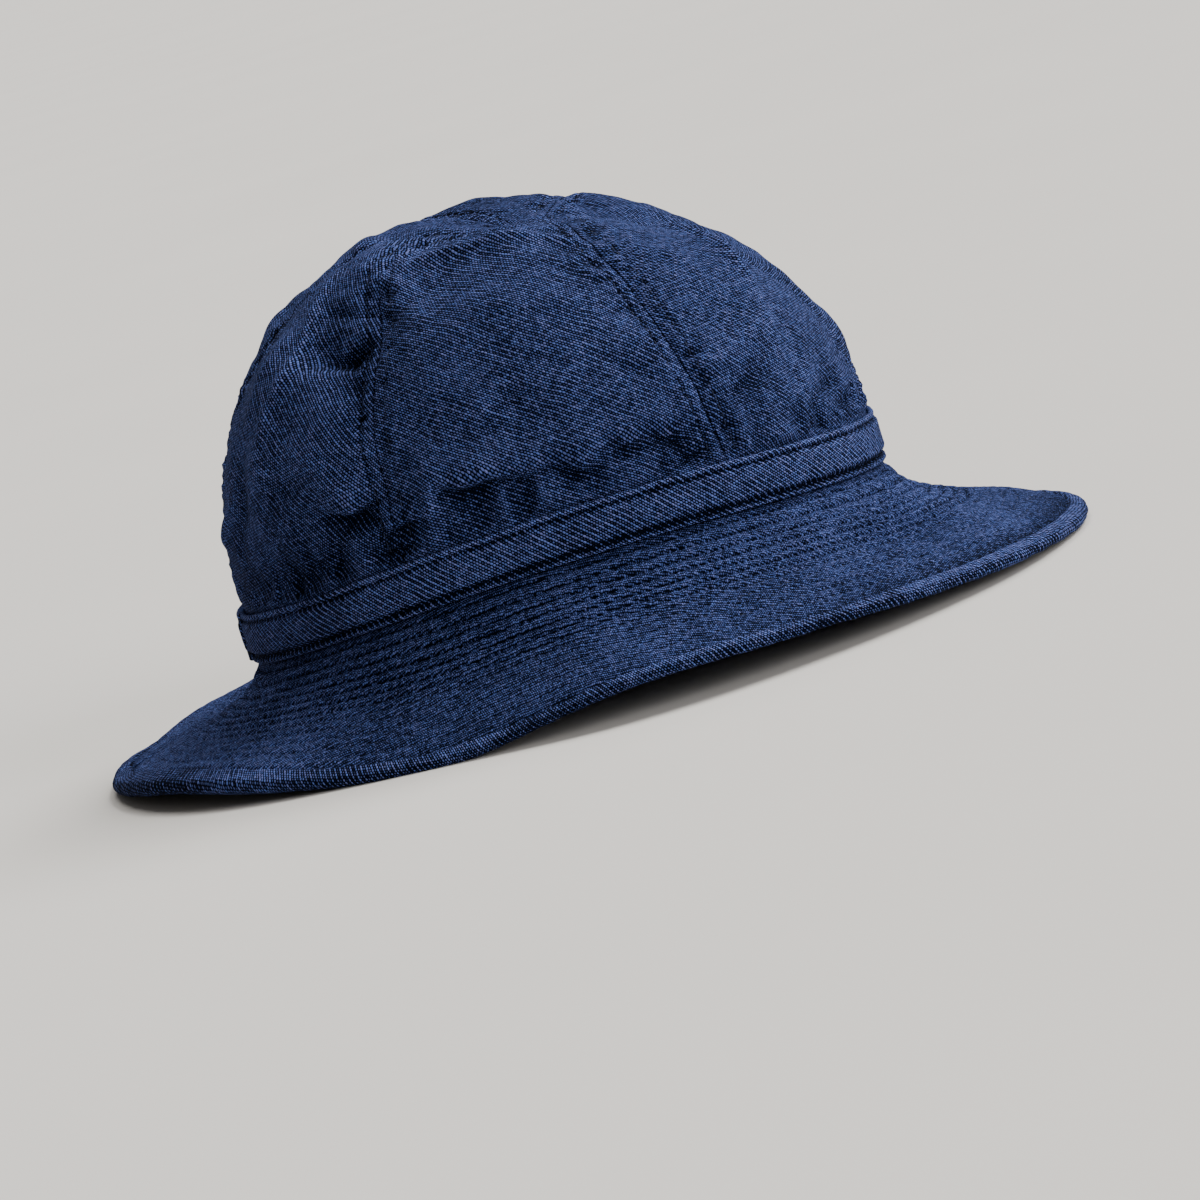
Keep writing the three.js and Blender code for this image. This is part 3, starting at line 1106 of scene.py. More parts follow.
@dataclass
class ClothSheet:
    """A sheet of cloth as rows and columns of points, to be laid out from a grid."""

    name: str
    points: Array  # rows, columns, 3, in millimetres
    pattern: Array  # rows, columns, 2, on the flat cloth
    worn: Array  # rows, columns: wear, with painted shade where it is below 0
    turned: Array | None = None  # rows, columns: over 0 where the second finish shows
    same_point: float = 0.002  # points nearer than this are one, in millimetres

    def build(self) -> bpy.types.Object:
        """Adds a grid and moves its points to the sheet's.

        Returns:
            The sheet as an open mesh.
        """
        rows, columns = self.points.shape[:2]
        bpy.ops.object.select_all(action="DESELECT")
        bpy.ops.mesh.primitive_grid_add(x_subdivisions=columns - 1, y_subdivisions=rows - 1, size=2.0)
        piece = bpy.context.object
        piece.name = self.name
        mesh = piece.data
        mesh.name = self.name
        flat = np.empty(len(mesh.vertices) * 3)
        mesh.vertices.foreach_get("co", flat)
        place = (flat.reshape(-1, 3) + 1.0) / 2.0
        column = np.rint(place[:, 0] * (columns - 1)).astype(int)
        row = np.rint(place[:, 1] * (rows - 1)).astype(int)
        mesh.vertices.foreach_set("co", (self.points[row, column] * MM).ravel())
        corner = np.empty(len(mesh.loops), dtype=np.int32)
        mesh.loops.foreach_get("vertex_index", corner)
        layer = mesh.uv_layers[0]
        layer.name = CLOTH_MAP
        layer.data.foreach_set("uv", self.pattern[row, column][corner].ravel())
        worn = mesh.attributes.new(WEAR_AND_SHADE, "FLOAT", "POINT")
        worn.data.foreach_set("value", self.worn[row, column])
        if self.turned is not None:
            shown = self.turned[row, column][corner].reshape(len(mesh.polygons), -1).min(axis=1) > 0
            mesh.polygons.foreach_set("material_index", shown.astype(np.int32))
        mesh.update()
        return piece

    def build_ring(self) -> bpy.types.Object:
        """Builds a sheet whose last row and column lie on its first, and closes it there.

        Returns:
            The sheet as a closed ring.
        """
        piece = self.build()
        bpy.ops.object.mode_set(mode="EDIT")
        bpy.ops.mesh.select_all(action="SELECT")
        bpy.ops.mesh.remove_doubles(threshold=self.same_point * MM)
        bpy.ops.mesh.normals_make_consistent(inside=False)
        bpy.ops.object.mode_set(mode="OBJECT")
        return piece


def dress(piece: bpy.types.Object, *materials: bpy.types.Material, node: str = "") -> bpy.types.Object:
    """Gives a piece its finish and ties it to the hat.

    Args:
        piece: the piece, in place.
        materials: its finishes.
        node: the solid that it stands for, if it stands for one.

    Returns:
        The piece.
    """
    bpy.ops.object.select_all(action="DESELECT")
    piece.select_set(True)
    bpy.context.view_layer.objects.active = piece
    bpy.ops.object.shade_smooth()
    finish = np.empty(len(piece.data.polygons), dtype=np.int32)
    piece.data.polygons.foreach_get("material_index", finish)
    piece.data.materials.clear()
    for material in materials:
        piece.data.materials.append(material)
    piece.data.polygons.foreach_set("material_index", finish)
    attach(piece, BODY)
    if node:
        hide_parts(node)
    log.info("%s: %d faces", piece.name, len(piece.data.polygons))
    return piece


@dataclass
class SeamPath:
    """A path of stitches: points in the cloth, with the directions out of it."""

    points: Array
    normals: Array


@dataclass(frozen=True)
class HatCloth:
    """Cloth that is laid over the hat's form, with the unevenness that all of it shares."""

    form: HatForm
    noise: SoftNoise


@dataclass
class PanelGrid:
    """Where the rows and columns of points of a crown panel lie on the smooth wall."""

    bearing: Array
    level: Array
    share: Array  # from 0 at the panel's first seam to 1 at its last
    across: Array  # distance from the first seam, along the cloth
    width: Array  # of each row, from seam to seam
    squeeze: Array  # of each row: how far its strips beside the seams are narrowed, to 0 at the apex
    up: Array  # distance of each row above the band, along the cloth

    @property
    def near(self) -> Array:
        """Distance from the nearer seam, as if the strips weren't narrowed."""
        return np.minimum(self.across, self.width - self.across) / self.squeeze

    @property
    def side(self) -> Array:
        """Which seam is the nearer, -1 or 1."""
        return np.where(self.share < 0.5, -1.0, 1.0)


@dataclass(frozen=True)
class CrownCloth(HatCloth):
    """The small shapes of the crown's cloth: what its seams, the band and wear have made of it."""

    stitch: float = 2.7
    row_reach: float = 4.5  # from a seam to the stitches beside it
    # the strip beside a seam, raised by the allowance below it, and its stitched groove
    strip_out: float = 0.16
    strip_start: Pair = (0.5, 1.8)
    strip_end: Pair = (6.2, 8.6)
    groove_deep: Pair = (0.22, 0.55)  # between its stitches, and how much deeper under them
    groove_wide: float = 0.65
    groove_faint: float = 0.4  # how far it shows beside a panel's first seam
    edge_held: Pair = (-0.3, 0.6)  # beat of the stitches from which and to which a rolled edge is drawn down
    edge_free: float = 0.35  # how far it is drawn down between them
    # puckers along the seams: even ones, ripples and sharp pleats
    side_sheet: float = 0.37  # between the sheets of noise of a panel's two sides
    beat_pitch: float = 3.1
    beat_out: float = 0.26
    beat_place: Pair = (4.6, 3.4)
    beat_drift: tuple[Ripple, ...] = (Ripple(0.9, 9.0, 20.0, 3),)
    ripples: tuple[Ripple, ...] = (Ripple(1.0, 5.0, 15.0, 0), Ripple(0.55, 2.4, 8.0, 5))
    ripple_out: float = 1.1
    pleats: tuple[Ripple, ...] = (Ripple(1.0, 7.0, 18.0, 9),)
    pleat_out: float = -0.6
    pleat_wide: float = 0.15
    pucker_start: Pair = (0.4, 3.0)
    pucker_reach: float = 10.0
    # gathers above the band, and the pits between them
    gathers: tuple[Ripple, ...] = (Ripple(1.0, 5.5, 34.0, 11), Ripple(0.5, 2.6, 22.0, 12))
    gather_out: float = 2.1
    pits: tuple[Ripple, ...] = (Ripple(1.0, 4.2, 16.0, 13),)
    pit_wide: float = 0.16
    gather_reach: float = 14.0
    free_height: float = 3.0  # how far above the band the cloth is held by it
    # soft humps and crumples of the whole cloth, less at the top and at the seams
    soft: tuple[Pair, ...] = ((1.2, 36.0), (0.8, 16.0), (0.4, 7.0))
    soft_at_seams: float = 0.35
    crumples: tuple[Triple, ...] = ((1.0, 19.0, 90.0), (0.5, 9.0, 50.0))
    crumple_out: float = 1.1
    inner_start: float = 9.0
    top_calm: float = 0.8
    top_reach: Pair = (38.0, 12.0)
    stray_size: float = 13.0
    stray_aside: float = 30.0
    # how much strips, grooves, puckers, gathers, creases and tucks change the colour by their height: paler
    # where they stand out, which is rubbed wear, and painted shade where they sink in, which is all the tucks
    # give; and the rolled edges
    shape_wear_and_shade: tuple[float, ...] = (0.2, 1.4, 0.6, 0.3, 0.2, 0.35)
    crest_pale: float = 0.2
    crest_place: Pair = (1.0, 0.7)
    # painted shade in the seam between the rolled edges: its width, and how much is left between the stitches
    seam_shade_wide: float = 0.45
    seam_least_shade: float = 0.3

    def held(self, up: Array) -> Array:
        """How far the stitches hold the cloth down: 1 at each, and 0 between them."""
        return 0.5 - 0.5 * np.cos(2 * np.pi * up / self.stitch)

    def edge_drawn(self, up: Array) -> Array:
        """How far the stitches draw a rolled edge down."""
        beat = np.sin(2 * np.pi * up / self.stitch)
        return self.edge_free + (1.0 - self.edge_free) * smoothstep(*self.edge_held, beat)

    def _seam_rows(self, grid: PanelGrid) -> tuple[Array, Array]:
        """The raised strips and the grooves beside the seams.

        Args:
            grid: the panel's points.

        Returns:
            How far each stands out.
        """
        near = grid.near
        strip = self.strip_out * smoothstep(*self.strip_start, near) * (1 - smoothstep(*self.strip_end, near))
        between, under = self.groove_deep
        shown = np.where(grid.side > 0, 1.0, self.groove_faint) * bump(self.row_reach, self.groove_wide, near)
        return strip, -(between + under * self.held(grid.up)) * shown

    def _puckers(self, grid: PanelGrid, layer: int) -> Array:
        """How far the puckers beside the seams stand out.

        Args:
            grid: the panel's points.
            layer: the panel's own number.

        Returns:
            The distances outward.
        """
        near = grid.near
        sheet = layer + grid.side * self.side_sheet
        drift = self.noise.ripples(self.beat_drift, grid.up, near, sheet)
        beat = np.sin(2 * np.pi * (grid.up / self.beat_pitch + drift))
        ripple = self.noise.ripples(self.ripples, grid.up, near, sheet)
        fine = self.noise.ripples(self.pleats, grid.up, near, sheet)
        pleat = self.pleat_out * bump(0.0, self.pleat_wide, fine)
        uneven = (self.ripple_out * ripple + pleat) * smoothstep(*self.pucker_start, near)
        even = self.beat_out * beat * bump(*self.beat_place, near)
        return uneven * bump(0.0, self.pucker_reach, near) + even

    def _gathers(self, bearing: Array, above: Array) -> Array:
        """How far the gathers above the band stand out.

        Args:
            bearing: where, round the crown.
            above: the height above the band, which the panels share.

        Returns:
            The distances outward.
        """
        gather = self.gather_out * self.noise.ripples(self.gathers, bearing, above)
        pit = bump(0.0, self.pit_wide, self.noise.ripples(self.pits, bearing, above))
        return (gather - pit) * bump(0.0, self.gather_reach, above)

    def relief(self, grid: PanelGrid, points: Array, layer: int) -> tuple[Array, Array, Array]:
        """How far the cloth's small shapes stand out of a panel's smooth wall.

        Args:
            grid: the panel's points.
            points: their places on the smooth wall.
            layer: the panel's own number.

        Returns:
            The distances outward and down the cloth, and its wear with painted shade where it sinks in.
        """
        strip, groove = self._seam_rows(grid)
        puckers = self._puckers(grid, layer)
        above = points[..., 2] - self.form.sewn_height(grid.bearing) - self.form.band_height
        free = smoothstep(0.0, self.free_height, above)
        gathers = self._gathers(grid.bearing, above)
        from_apex = np.linalg.norm(points[..., :2] - (self.form.apex_x, 0.0), axis=-1)
        calm = 1.0 - self.top_calm * smoothstep(*self.top_reach, from_apex)
        inner = smoothstep(0.0, self.inner_start, grid.near)
        seamward = self.soft_at_seams + (1.0 - self.soft_at_seams) * inner
        soft = sum(out * self.noise.at(points, size) for out, size in self.soft) * seamward * calm
        crumple = sum(out * np.abs(self.noise.at(points + aside, size)) for out, size, aside in self.crumples)
        stray = self.noise.at(points + self.stray_aside, self.stray_size)
        outward, downward = self.form.tuck_offset(points, CLOTH_TUCKS, stray)
        creases = self.form.fold_offset(points, CLOTH_CREASES, crisp=True)
        loose = puckers * grid.squeeze + gathers + soft + self.crumple_out * crumple * inner * calm
        relief = (strip + groove) * grid.squeeze + (loose + creases + outward) * free
        # paler where these stand out, which is wear, and painted shade where they sink in
        shapes = (strip, groove, puckers, gathers, creases, np.minimum(outward, 0.0))
        worn = sum(share * shape for share, shape in zip(self.shape_wear_and_shade, shapes)) + self._seam_wear_and_shade(grid)
        return relief, downward * free, worn * free

    def _seam_wear_and_shade(self, grid: PanelGrid) -> Array:
        """Wear and painted shade of the rolled edges: rubbed pale on their crest, and painted shade in the
        seam between them, most at its stitches.

        Args:
            grid: the panel's points.

        Returns:
            The wear and painted shade.
        """
        least = self.seam_least_shade
        dark = (least + (1.0 - least) * self.held(grid.up)) * bump(0.0, self.seam_shade_wide, grid.near)
        return self.crest_pale * bump(*self.crest_place, grid.near) - dark


@dataclass(frozen=True)
class CrownPanel:
    """A crown panel between two seams: rolled edges, stitched allowances, puckers and soft folds."""

    node: str
    first: SeamLine
    last: SeamLine
    layer: int
    lean: float  # how its ribs are turned from those of the other panels
    cloth: float = 0.55  # thickness of the ply that shows
    step: float = 0.9  # between rows of points
    run_steps: int = 400  # in which a row's way up the panel is measured
    seam_to_seam: int = 61  # points in which a row's way across is measured
    middle_columns: int = 66
    top_level: float = 0.9996
    puff_power: float = 2.2
    crowding: float = 2.8  # how many strips' widths a row needs before they are narrowed
    last_stitch: float = 0.62  # how far the strips are narrowed where their stitches end
    hidden_rises: tuple[float, ...] = (0.3, 5.0, 10.0, 14.0)
    # distance from the seam and depth of each column down the rolled edge, and distances of those after it
    rolled: tuple[Pair, ...] = ((0.04, 1.8), (0.05, 0.5), (0.11, 0.22), (0.3, 0.06))
    strip: tuple[float, ...] = (
        0.64, 1.2, 2.0, 2.8, 3.4, 3.8, 4.15, 4.5, 4.85, 5.2, 5.7, 6.4, 7.2, 8.0, 8.9
    )

    def _levels(self, form: HatForm, shares: Array) -> tuple[Array, Array]:
        """The levels of the panel's rows.

        Args:
            form: the hat's form.
            shares: places across the panel.

        Returns:
            A row of levels for each row of points, and how far up the cloth above the band each row is.
        """
        plain = self.first.foot + (self.last.foot - self.first.foot) * shares
        held = form.level_at_rise(plain, form.band_height)
        middle = held[len(shares) // 2]
        fine = np.linspace(0.0, 1.0, self.run_steps)
        levels = middle + (self.top_level - middle) * fine
        half_way = (self.first.bearing(levels) + self.last.bearing(levels)) / 2
        length = run_along(form.wall(half_way, levels))
        even = np.linspace(0.0, length[-1], round(length[-1] / self.step) + 1)
        free = np.interp(even, length, fine)
        hidden = [form.level_at_rise(plain, rise) for rise in self.hidden_rises]
        shown = held + (self.top_level - held) * free[:, None]
        below = [rise - form.band_height for rise in self.hidden_rises]
        return np.vstack([*hidden, shown]), np.concatenate([below, even])

    def _strip_places(self) -> Array:
        """Distances of the columns beside a seam from it."""
        return np.array([place for place, _ in self.rolled] + list(self.strip))

    def _grid(self, form: HatForm) -> PanelGrid:
        """Lays the panel's points out on the wall, closer beside the seams.

        Args:
            form: the hat's form.

        Returns:
            The grid.
        """
        shares = np.linspace(0.0, 1.0, self.seam_to_seam)
        levels, up = self._levels(form, shares)
        first = self.first.bearing(levels)
        bearings = first + (self.last.bearing(levels) - first) * shares
        run = run_along(form.wall(bearings, levels))
        width = run[:, -1:]
        near = self._strip_places()
        squeeze = np.minimum(1.0, width / (self.crowding * near[-1]))
        start = near * squeeze
        between = np.linspace(0.0, 1.0, self.middle_columns)[1:-1]
        middle = start[:, -1:] + (width - 2 * start[:, -1:]) * between
        across = np.concatenate([start, middle, width - start[:, ::-1]], axis=1)
        share = np.stack([np.interp(place, row, shares) for place, row in zip(across, run)])
        bearing, level = (
            np.stack([np.interp(place, shares, row) for place, row in zip(share, rows)])
            for rows in (bearings, levels)
        )
        return PanelGrid(bearing, level, share, across, width, squeeze, up[:, None])

    def _edge_drop(self, grid: PanelGrid, cloth: CrownCloth) -> Array:
        """How far the rolled edges go down into the seams.

        Args:
            grid: the panel's points.
            cloth: the crown's cloth.

        Returns:
            The distances inward.
        """
        rolled = np.array([depth for _, depth in self.rolled])
        deep = np.zeros(grid.across.shape[1])
        deep[: len(rolled)] = rolled
        deep[-len(rolled) :] = rolled[::-1]
        return deep * grid.squeeze * cloth.edge_drawn(grid.up)

    def _thicken(self, piece: bpy.types.Object) -> None:
        """Gives the panel's sheet the thickness of its cloth, inward.

        Args:
            piece: the sheet.
        """
        wall = piece.modifiers.new("cloth", "SOLIDIFY")
        wall.thickness = self.cloth * MM
        wall.offset = -1.0
        bpy.ops.object.modifier_apply(modifier=wall.name)

    def build(self, cloth: CrownCloth, material: bpy.types.Material) -> list[SeamPath]:
        """Builds and dresses the panel.

        Args:
            cloth: the crown's cloth.
            material: the twill.

        Returns:
            The paths of the stitches beside its two seams.
        """
        form = cloth.form
        grid = self._grid(form)
        wall = form.wall(grid.bearing, grid.level)
        _, rising, out = form.axes(grid.bearing, grid.level)
        relief, sag, worn = cloth.relief(grid, wall, self.layer)
        swell = 1 - np.abs(2 * grid.share - 1) ** self.puff_power
        lift = form.stand_out(grid.bearing, grid.level, swell) + relief - self._edge_drop(grid, cloth)
        points = wall + out * lift[..., None] - rising * sag[..., None]
        pattern = Grain.CROWN.pattern(grid.across - grid.width / 2, grid.up, self.lean)
        piece = ClothSheet(f"twill_{self.node}", points, pattern, worn).build()
        self._thicken(piece)
        dress(piece, material, node=self.node)
        column = int(np.argmin(np.abs(self._strip_places() - cloth.row_reach)))
        rows = slice(len(self.hidden_rises), int(np.argmax(grid.squeeze[:, 0] < self.last_stitch)))
        return [SeamPath(points[rows, index], out[rows, index]) for index in (column, -1 - column)]


def fade_at_join(arc: Array) -> Array:
    """Falls from 1 to 0 at the centre back, where a ring's unevenness has to meet itself."""
    return np.minimum(1.0, np.sin(np.pi * arc / arc[-1]) * JOIN_STEEPNESS)


@dataclass(frozen=True)
class HatBand(HatCloth):
    """The band round the crown's foot: a folded strip, stitched along both edges, lapped at the back."""

    node: str = "hat_band"
    thick: float = 1.9
    clear: float = 0.45
    steps: int = 720
    turn_steps: int = 9  # round each folded edge
    face_steps: int = 36
    face_start: float = 0.4
    inner_rises: Pair = (0.66, 0.33)  # of the inner face's points, as shares of the height
    stitch_rise: float = 2.3  # from each edge to its stitches
    # pairs are for the lower edge and the upper one
    groove_deep: Pair = (1.5, 1.0)
    groove_wide: Pair = (0.95, 0.65)
    # painted shade in the stitched grooves, and its width
    groove_painted_shade: Pair = (0.8, 0.5)
    groove_shade_wide: Pair = (0.9, 0.6)
    edge_pale: Pair = (0.2, 1.2)
    pale_place: Pair = (0.6, 0.9)
    pillow_out: float = 0.3
    pillow_rise: float = 5.0
    pinches: tuple[Ripple, ...] = (Ripple(0.28, 4.6, 7.0, 21), Ripple(0.14, 2.2, 4.0, 22))
    pinch_place: Pair = (3.2, 3.4)
    lips: tuple[Ripple, ...] = (Ripple(0.16, 2.4, 1.0, 23),)
    lip_place: Pair = (0.9, 0.8)
    waves: tuple[Ripple, ...] = (Ripple(0.35, 38.0, 40.0, 24),)
    sways: tuple[Ripple, ...] = (Ripple(0.35, 26.0, 1.0, 25), Ripple(0.12, 5.0, 1.0, 26))
    # how far the face's relief shows in the colour: paler where it stands out, which is wear, and painted
    # shade in its grooves
    relief_wear_and_shade: float = 0.5
    outer_start: Pair = (0.2, 1.4)
    lap_at: float = -175.0
    lap_thick: float = 1.0
    lap_start: Pair = (0.0, 0.7)
    lap_end: Pair = (-16.0, -9.0)

    def _outline(self) -> Array:
        """The section as a closed run of rises and distances out of the wall.

        Returns:
            The points, from the inner face round under the band and up its outer face.
        """
        height = self.form.band_height
        radius = self.thick / 2
        turn = np.radians(np.linspace(-180.0, 0.0, self.turn_steps))
        lower = np.stack([radius + radius * np.sin(turn), radius + radius * np.cos(turn)], axis=-1)
        start = radius + self.face_start
        rises = np.linspace(start, height - start, self.face_steps)
        face = np.stack([rises, np.full(self.face_steps, self.thick)], axis=-1)
        upper = lower[::-1] * (-1, 1) + (height, 0)
        inner = np.array([(height * share, 0.0) for share in self.inner_rises])
        return np.vstack([lower, face, upper, inner, lower[:1]])

    def _edges(self, rise: Array) -> tuple[Array, Array]:
        """The distance from the nearer edge at some heights up the band, and whether it is the lower one."""
        height = self.form.band_height
        return np.minimum(rise, height - rise), rise < height / 2

    def _relief(self, rise: Array, arc: Array) -> Array:
        """How far the band's face stands out.

        Args:
            rise: heights up the band.
            arc: distances round it.

        Returns:
            The distances outward.
        """
        edge, low = self._edges(rise)
        past = np.clip((edge - self.stitch_rise) / self.pillow_rise, 0.0, 0.5)
        pillow = self.pillow_out * np.sin(np.pi * past)
        deep = np.where(low, *self.groove_deep)
        groove = -deep * bump(self.stitch_rise, np.where(low, *self.groove_wide), edge)
        pinch = self.noise.ripples(self.pinches, arc, rise) * bump(*self.pinch_place, edge)
        lip = self.noise.ripples(self.lips, arc, 0.0) * bump(*self.lip_place, edge)
        return pillow + groove + lip + pinch + self.noise.ripples(self.waves, arc, rise)

    def _edge_wear_and_groove_shade(self, rise: Array) -> Array:
        """The band's wear and painted shade: rubbed pale along its edges, and painted shade in its stitched
        grooves.

        Args:
            rise: heights up the band.

        Returns:
            The wear and painted shade.
        """
        edge, low = self._edges(rise)
        dark = np.where(low, *self.groove_painted_shade) * bump(self.stitch_rise, np.where(low, *self.groove_shade_wide), edge)
        return np.where(low, *self.edge_pale) * bump(*self.pale_place, edge) - dark

    def _lap(self, bearing: Array) -> Array:
        """How far the end that laps over the other stands out at some bearings."""
        past = level_circle(bearing - self.lap_at)
        return self.lap_thick * smoothstep(*self.lap_start, -past) * smoothstep(*self.lap_end, past)

    def build(self, material: bpy.types.Material) -> list[SeamPath]:
        """Builds and dresses the band.

        Args:
            material: the twill.

        Returns:
            The paths of the stitches along its edges.
        """
        form = self.form
        outline = self._outline()
        rise, out = outline[:, :1], outline[:, 1:]
        bearing = np.linspace(-180.0, 180.0, self.steps + 1)
        arc = run_along(form.foot(bearing))
        meeting = fade_at_join(arc)
        outer = smoothstep(*self.outer_start, out)
        relief = self._relief(rise, arc) * meeting
        level = form.level_at_rise(bearing, np.maximum(rise, form.gap))
        direction = form.axes(bearing, level)[2]
        stand = self.clear + out + (relief + self._lap(bearing)) * outer
        points = form.wall(bearing, level) + direction * stand[..., None]
        sway = self.noise.ripples(self.sways, arc, 0.0) * meeting
        points[..., 2] = form.sewn_height(bearing) + rise + sway * (rise / form.band_height)
        points[:, -1] = points[:, 0]
        points[-1] = points[0]
        # wear along the edges, and painted shade in the grooves and dips of the face
        worn = (self._edge_wear_and_groove_shade(rise) + relief * self.relief_wear_and_shade) * outer
        pattern = Grain.BAND.pattern(arc, run_along(outline)[:, None])
        piece = ClothSheet("twill_hat_band", points, pattern, worn).build_ring()
        dress(piece, material, node=self.node)
        on_face = np.isclose(outline[:, 1], self.thick)
        paths = []
        for place in (self.stitch_rise, form.band_height - self.stitch_rise):
            row = int(np.argmin(np.where(on_face, np.abs(outline[:, 0] - place), np.inf)))
            paths.append(SeamPath(points[row], direction[row]))
        return paths


class BrimPart(IntEnum):
    """The stretches of a section of the brim, from the sewn line out round its edge and back underneath."""

    UPPER = 0
    EDGE_TOP = 1
    TIP = 2
    EDGE_UNDER = 3
    UNDERSIDE = 4


@dataclass
class BrimGrid:
    """Where the points of the brim's sections lie: a row for each section, apart from the last two."""

    bearing: Array
    foot: Array  # on the sewn line
    arc: Array  # distance round the sewn line
    width: Array
    hem: Array  # distance out to the turned edge
    reach: Array  # distance of each point from the sewn line
    part: Array  # of each column
    turn: Array  # of each column, round the tip


@dataclass(frozen=True)
class StitchedPlies:
    """The relief of the brim's stitched faces: rows of small cushions, which flatten further out."""

    # distances of the stitched rows from the sewn line
    rows: tuple[float, ...] = (3.1, 8.3, 13.4, 18.2, 22.6, 26.6, 30.4, 34.2, 38.2, 42.4, 46.8, 51.2)
    # of the points beside each row from it, and of those before the first row
    beside_row: tuple[float, ...] = (-1.15, -0.5, 0.0, 0.5, 1.15)
    before_rows: Pair = (0.0, 1.0)
    stitch: float = 2.6
    firm_end: Pair = (24.0, 38.0)
    least_firm: float = 0.75  # how much flatter the outer rows are
    pillow_flat: float = 0.7
    bead_flat: float = 0.8
    groove_deep: float = 0.65
    groove_wide: float = 0.5
    pit_deep: float = 0.6
    pit_wide: float = 0.9
    pit_faint: float = 0.4
    # how high the cushions stand in all, at the stitches and by chance
    pillow_out: float = 0.2
    bead_out: float = 0.6
    pinch_out: float = 0.14
    slant: float = 0.22  # how far the cushions of a row are shifted against the next
    drifts: tuple[Ripple, ...] = (Ripple(0.3, 12.0, 14.0, 6),)
    pinches: tuple[Ripple, ...] = (Ripple(1.0, 1.9, 8.0, 0), Ripple(0.5, 3.6, 13.0, 1))
    roughness: tuple[Ripple, ...] = (Ripple(0.12, 2.2, 2.2, 3),)
    waves: tuple[Ripple, ...] = (Ripple(0.7, 34.0, 60.0, 4), Ripple(0.25, 9.0, 16.0, 5))
    wave_start: Pair = (3.0, 14.0)

    def stations(self) -> Array:
        """Where the upper face has points, closer beside its rows.

        Returns:
            Distances from the sewn line.
        """
        rows = np.array(self.rows)
        beside = (rows[:, None] + self.beside_row).ravel()
        between = (rows[:-1] + rows[1:]) / 2
        return np.sort(np.concatenate([self.before_rows, beside, between]))

    def from_row(self, reach: Array) -> Array:
        """How far from the nearest row some distances from the sewn line are."""
        return np.abs(reach[..., None] - np.array(self.rows)).min(axis=-1)

    def relief(self, noise: SoftNoise, reach: Array, arc: Array, sheet: float) -> Array:
        """How far a stitched face stands out.

        Args:
            noise: the cloth's unevenness.
            reach: distances from the sewn line.
            arc: distances round the brim.
            sheet: which sheets of noise the face starts from.

        Returns:
            The distances outward.
        """
        away = self.from_row(reach)
        place = np.interp(reach, self.rows, np.arange(len(self.rows)))
        firm = 1.0 - self.least_firm * smoothstep(*self.firm_end, reach)
        pillow = np.abs(np.sin(np.pi * place)) ** self.pillow_flat
        drift = noise.ripples(self.drifts, arc, reach, sheet)
        beat = arc / self.stitch + drift + self.slant * np.sin(np.pi * place)
        bead = np.abs(np.sin(np.pi * beat)) ** self.bead_flat
        pinch = noise.ripples(self.pinches, arc, reach, sheet)
        cushions = pillow * (self.pillow_out + self.bead_out * bead + self.pinch_out * pinch)
        grooves = -self.groove_deep * bump(0.0, self.groove_wide, away)
        pits = -self.pit_deep * (1.0 - bead) * bump(0.0, self.pit_wide, away)
        pitted = self.pit_faint + (1.0 - self.pit_faint) * firm
        rough = noise.ripples(self.roughness, arc, reach, sheet)
        wave = noise.ripples(self.waves, arc, reach, sheet) * smoothstep(*self.wave_start, reach)
        return (grooves + cushions) * firm + pits * pitted + rough + wave


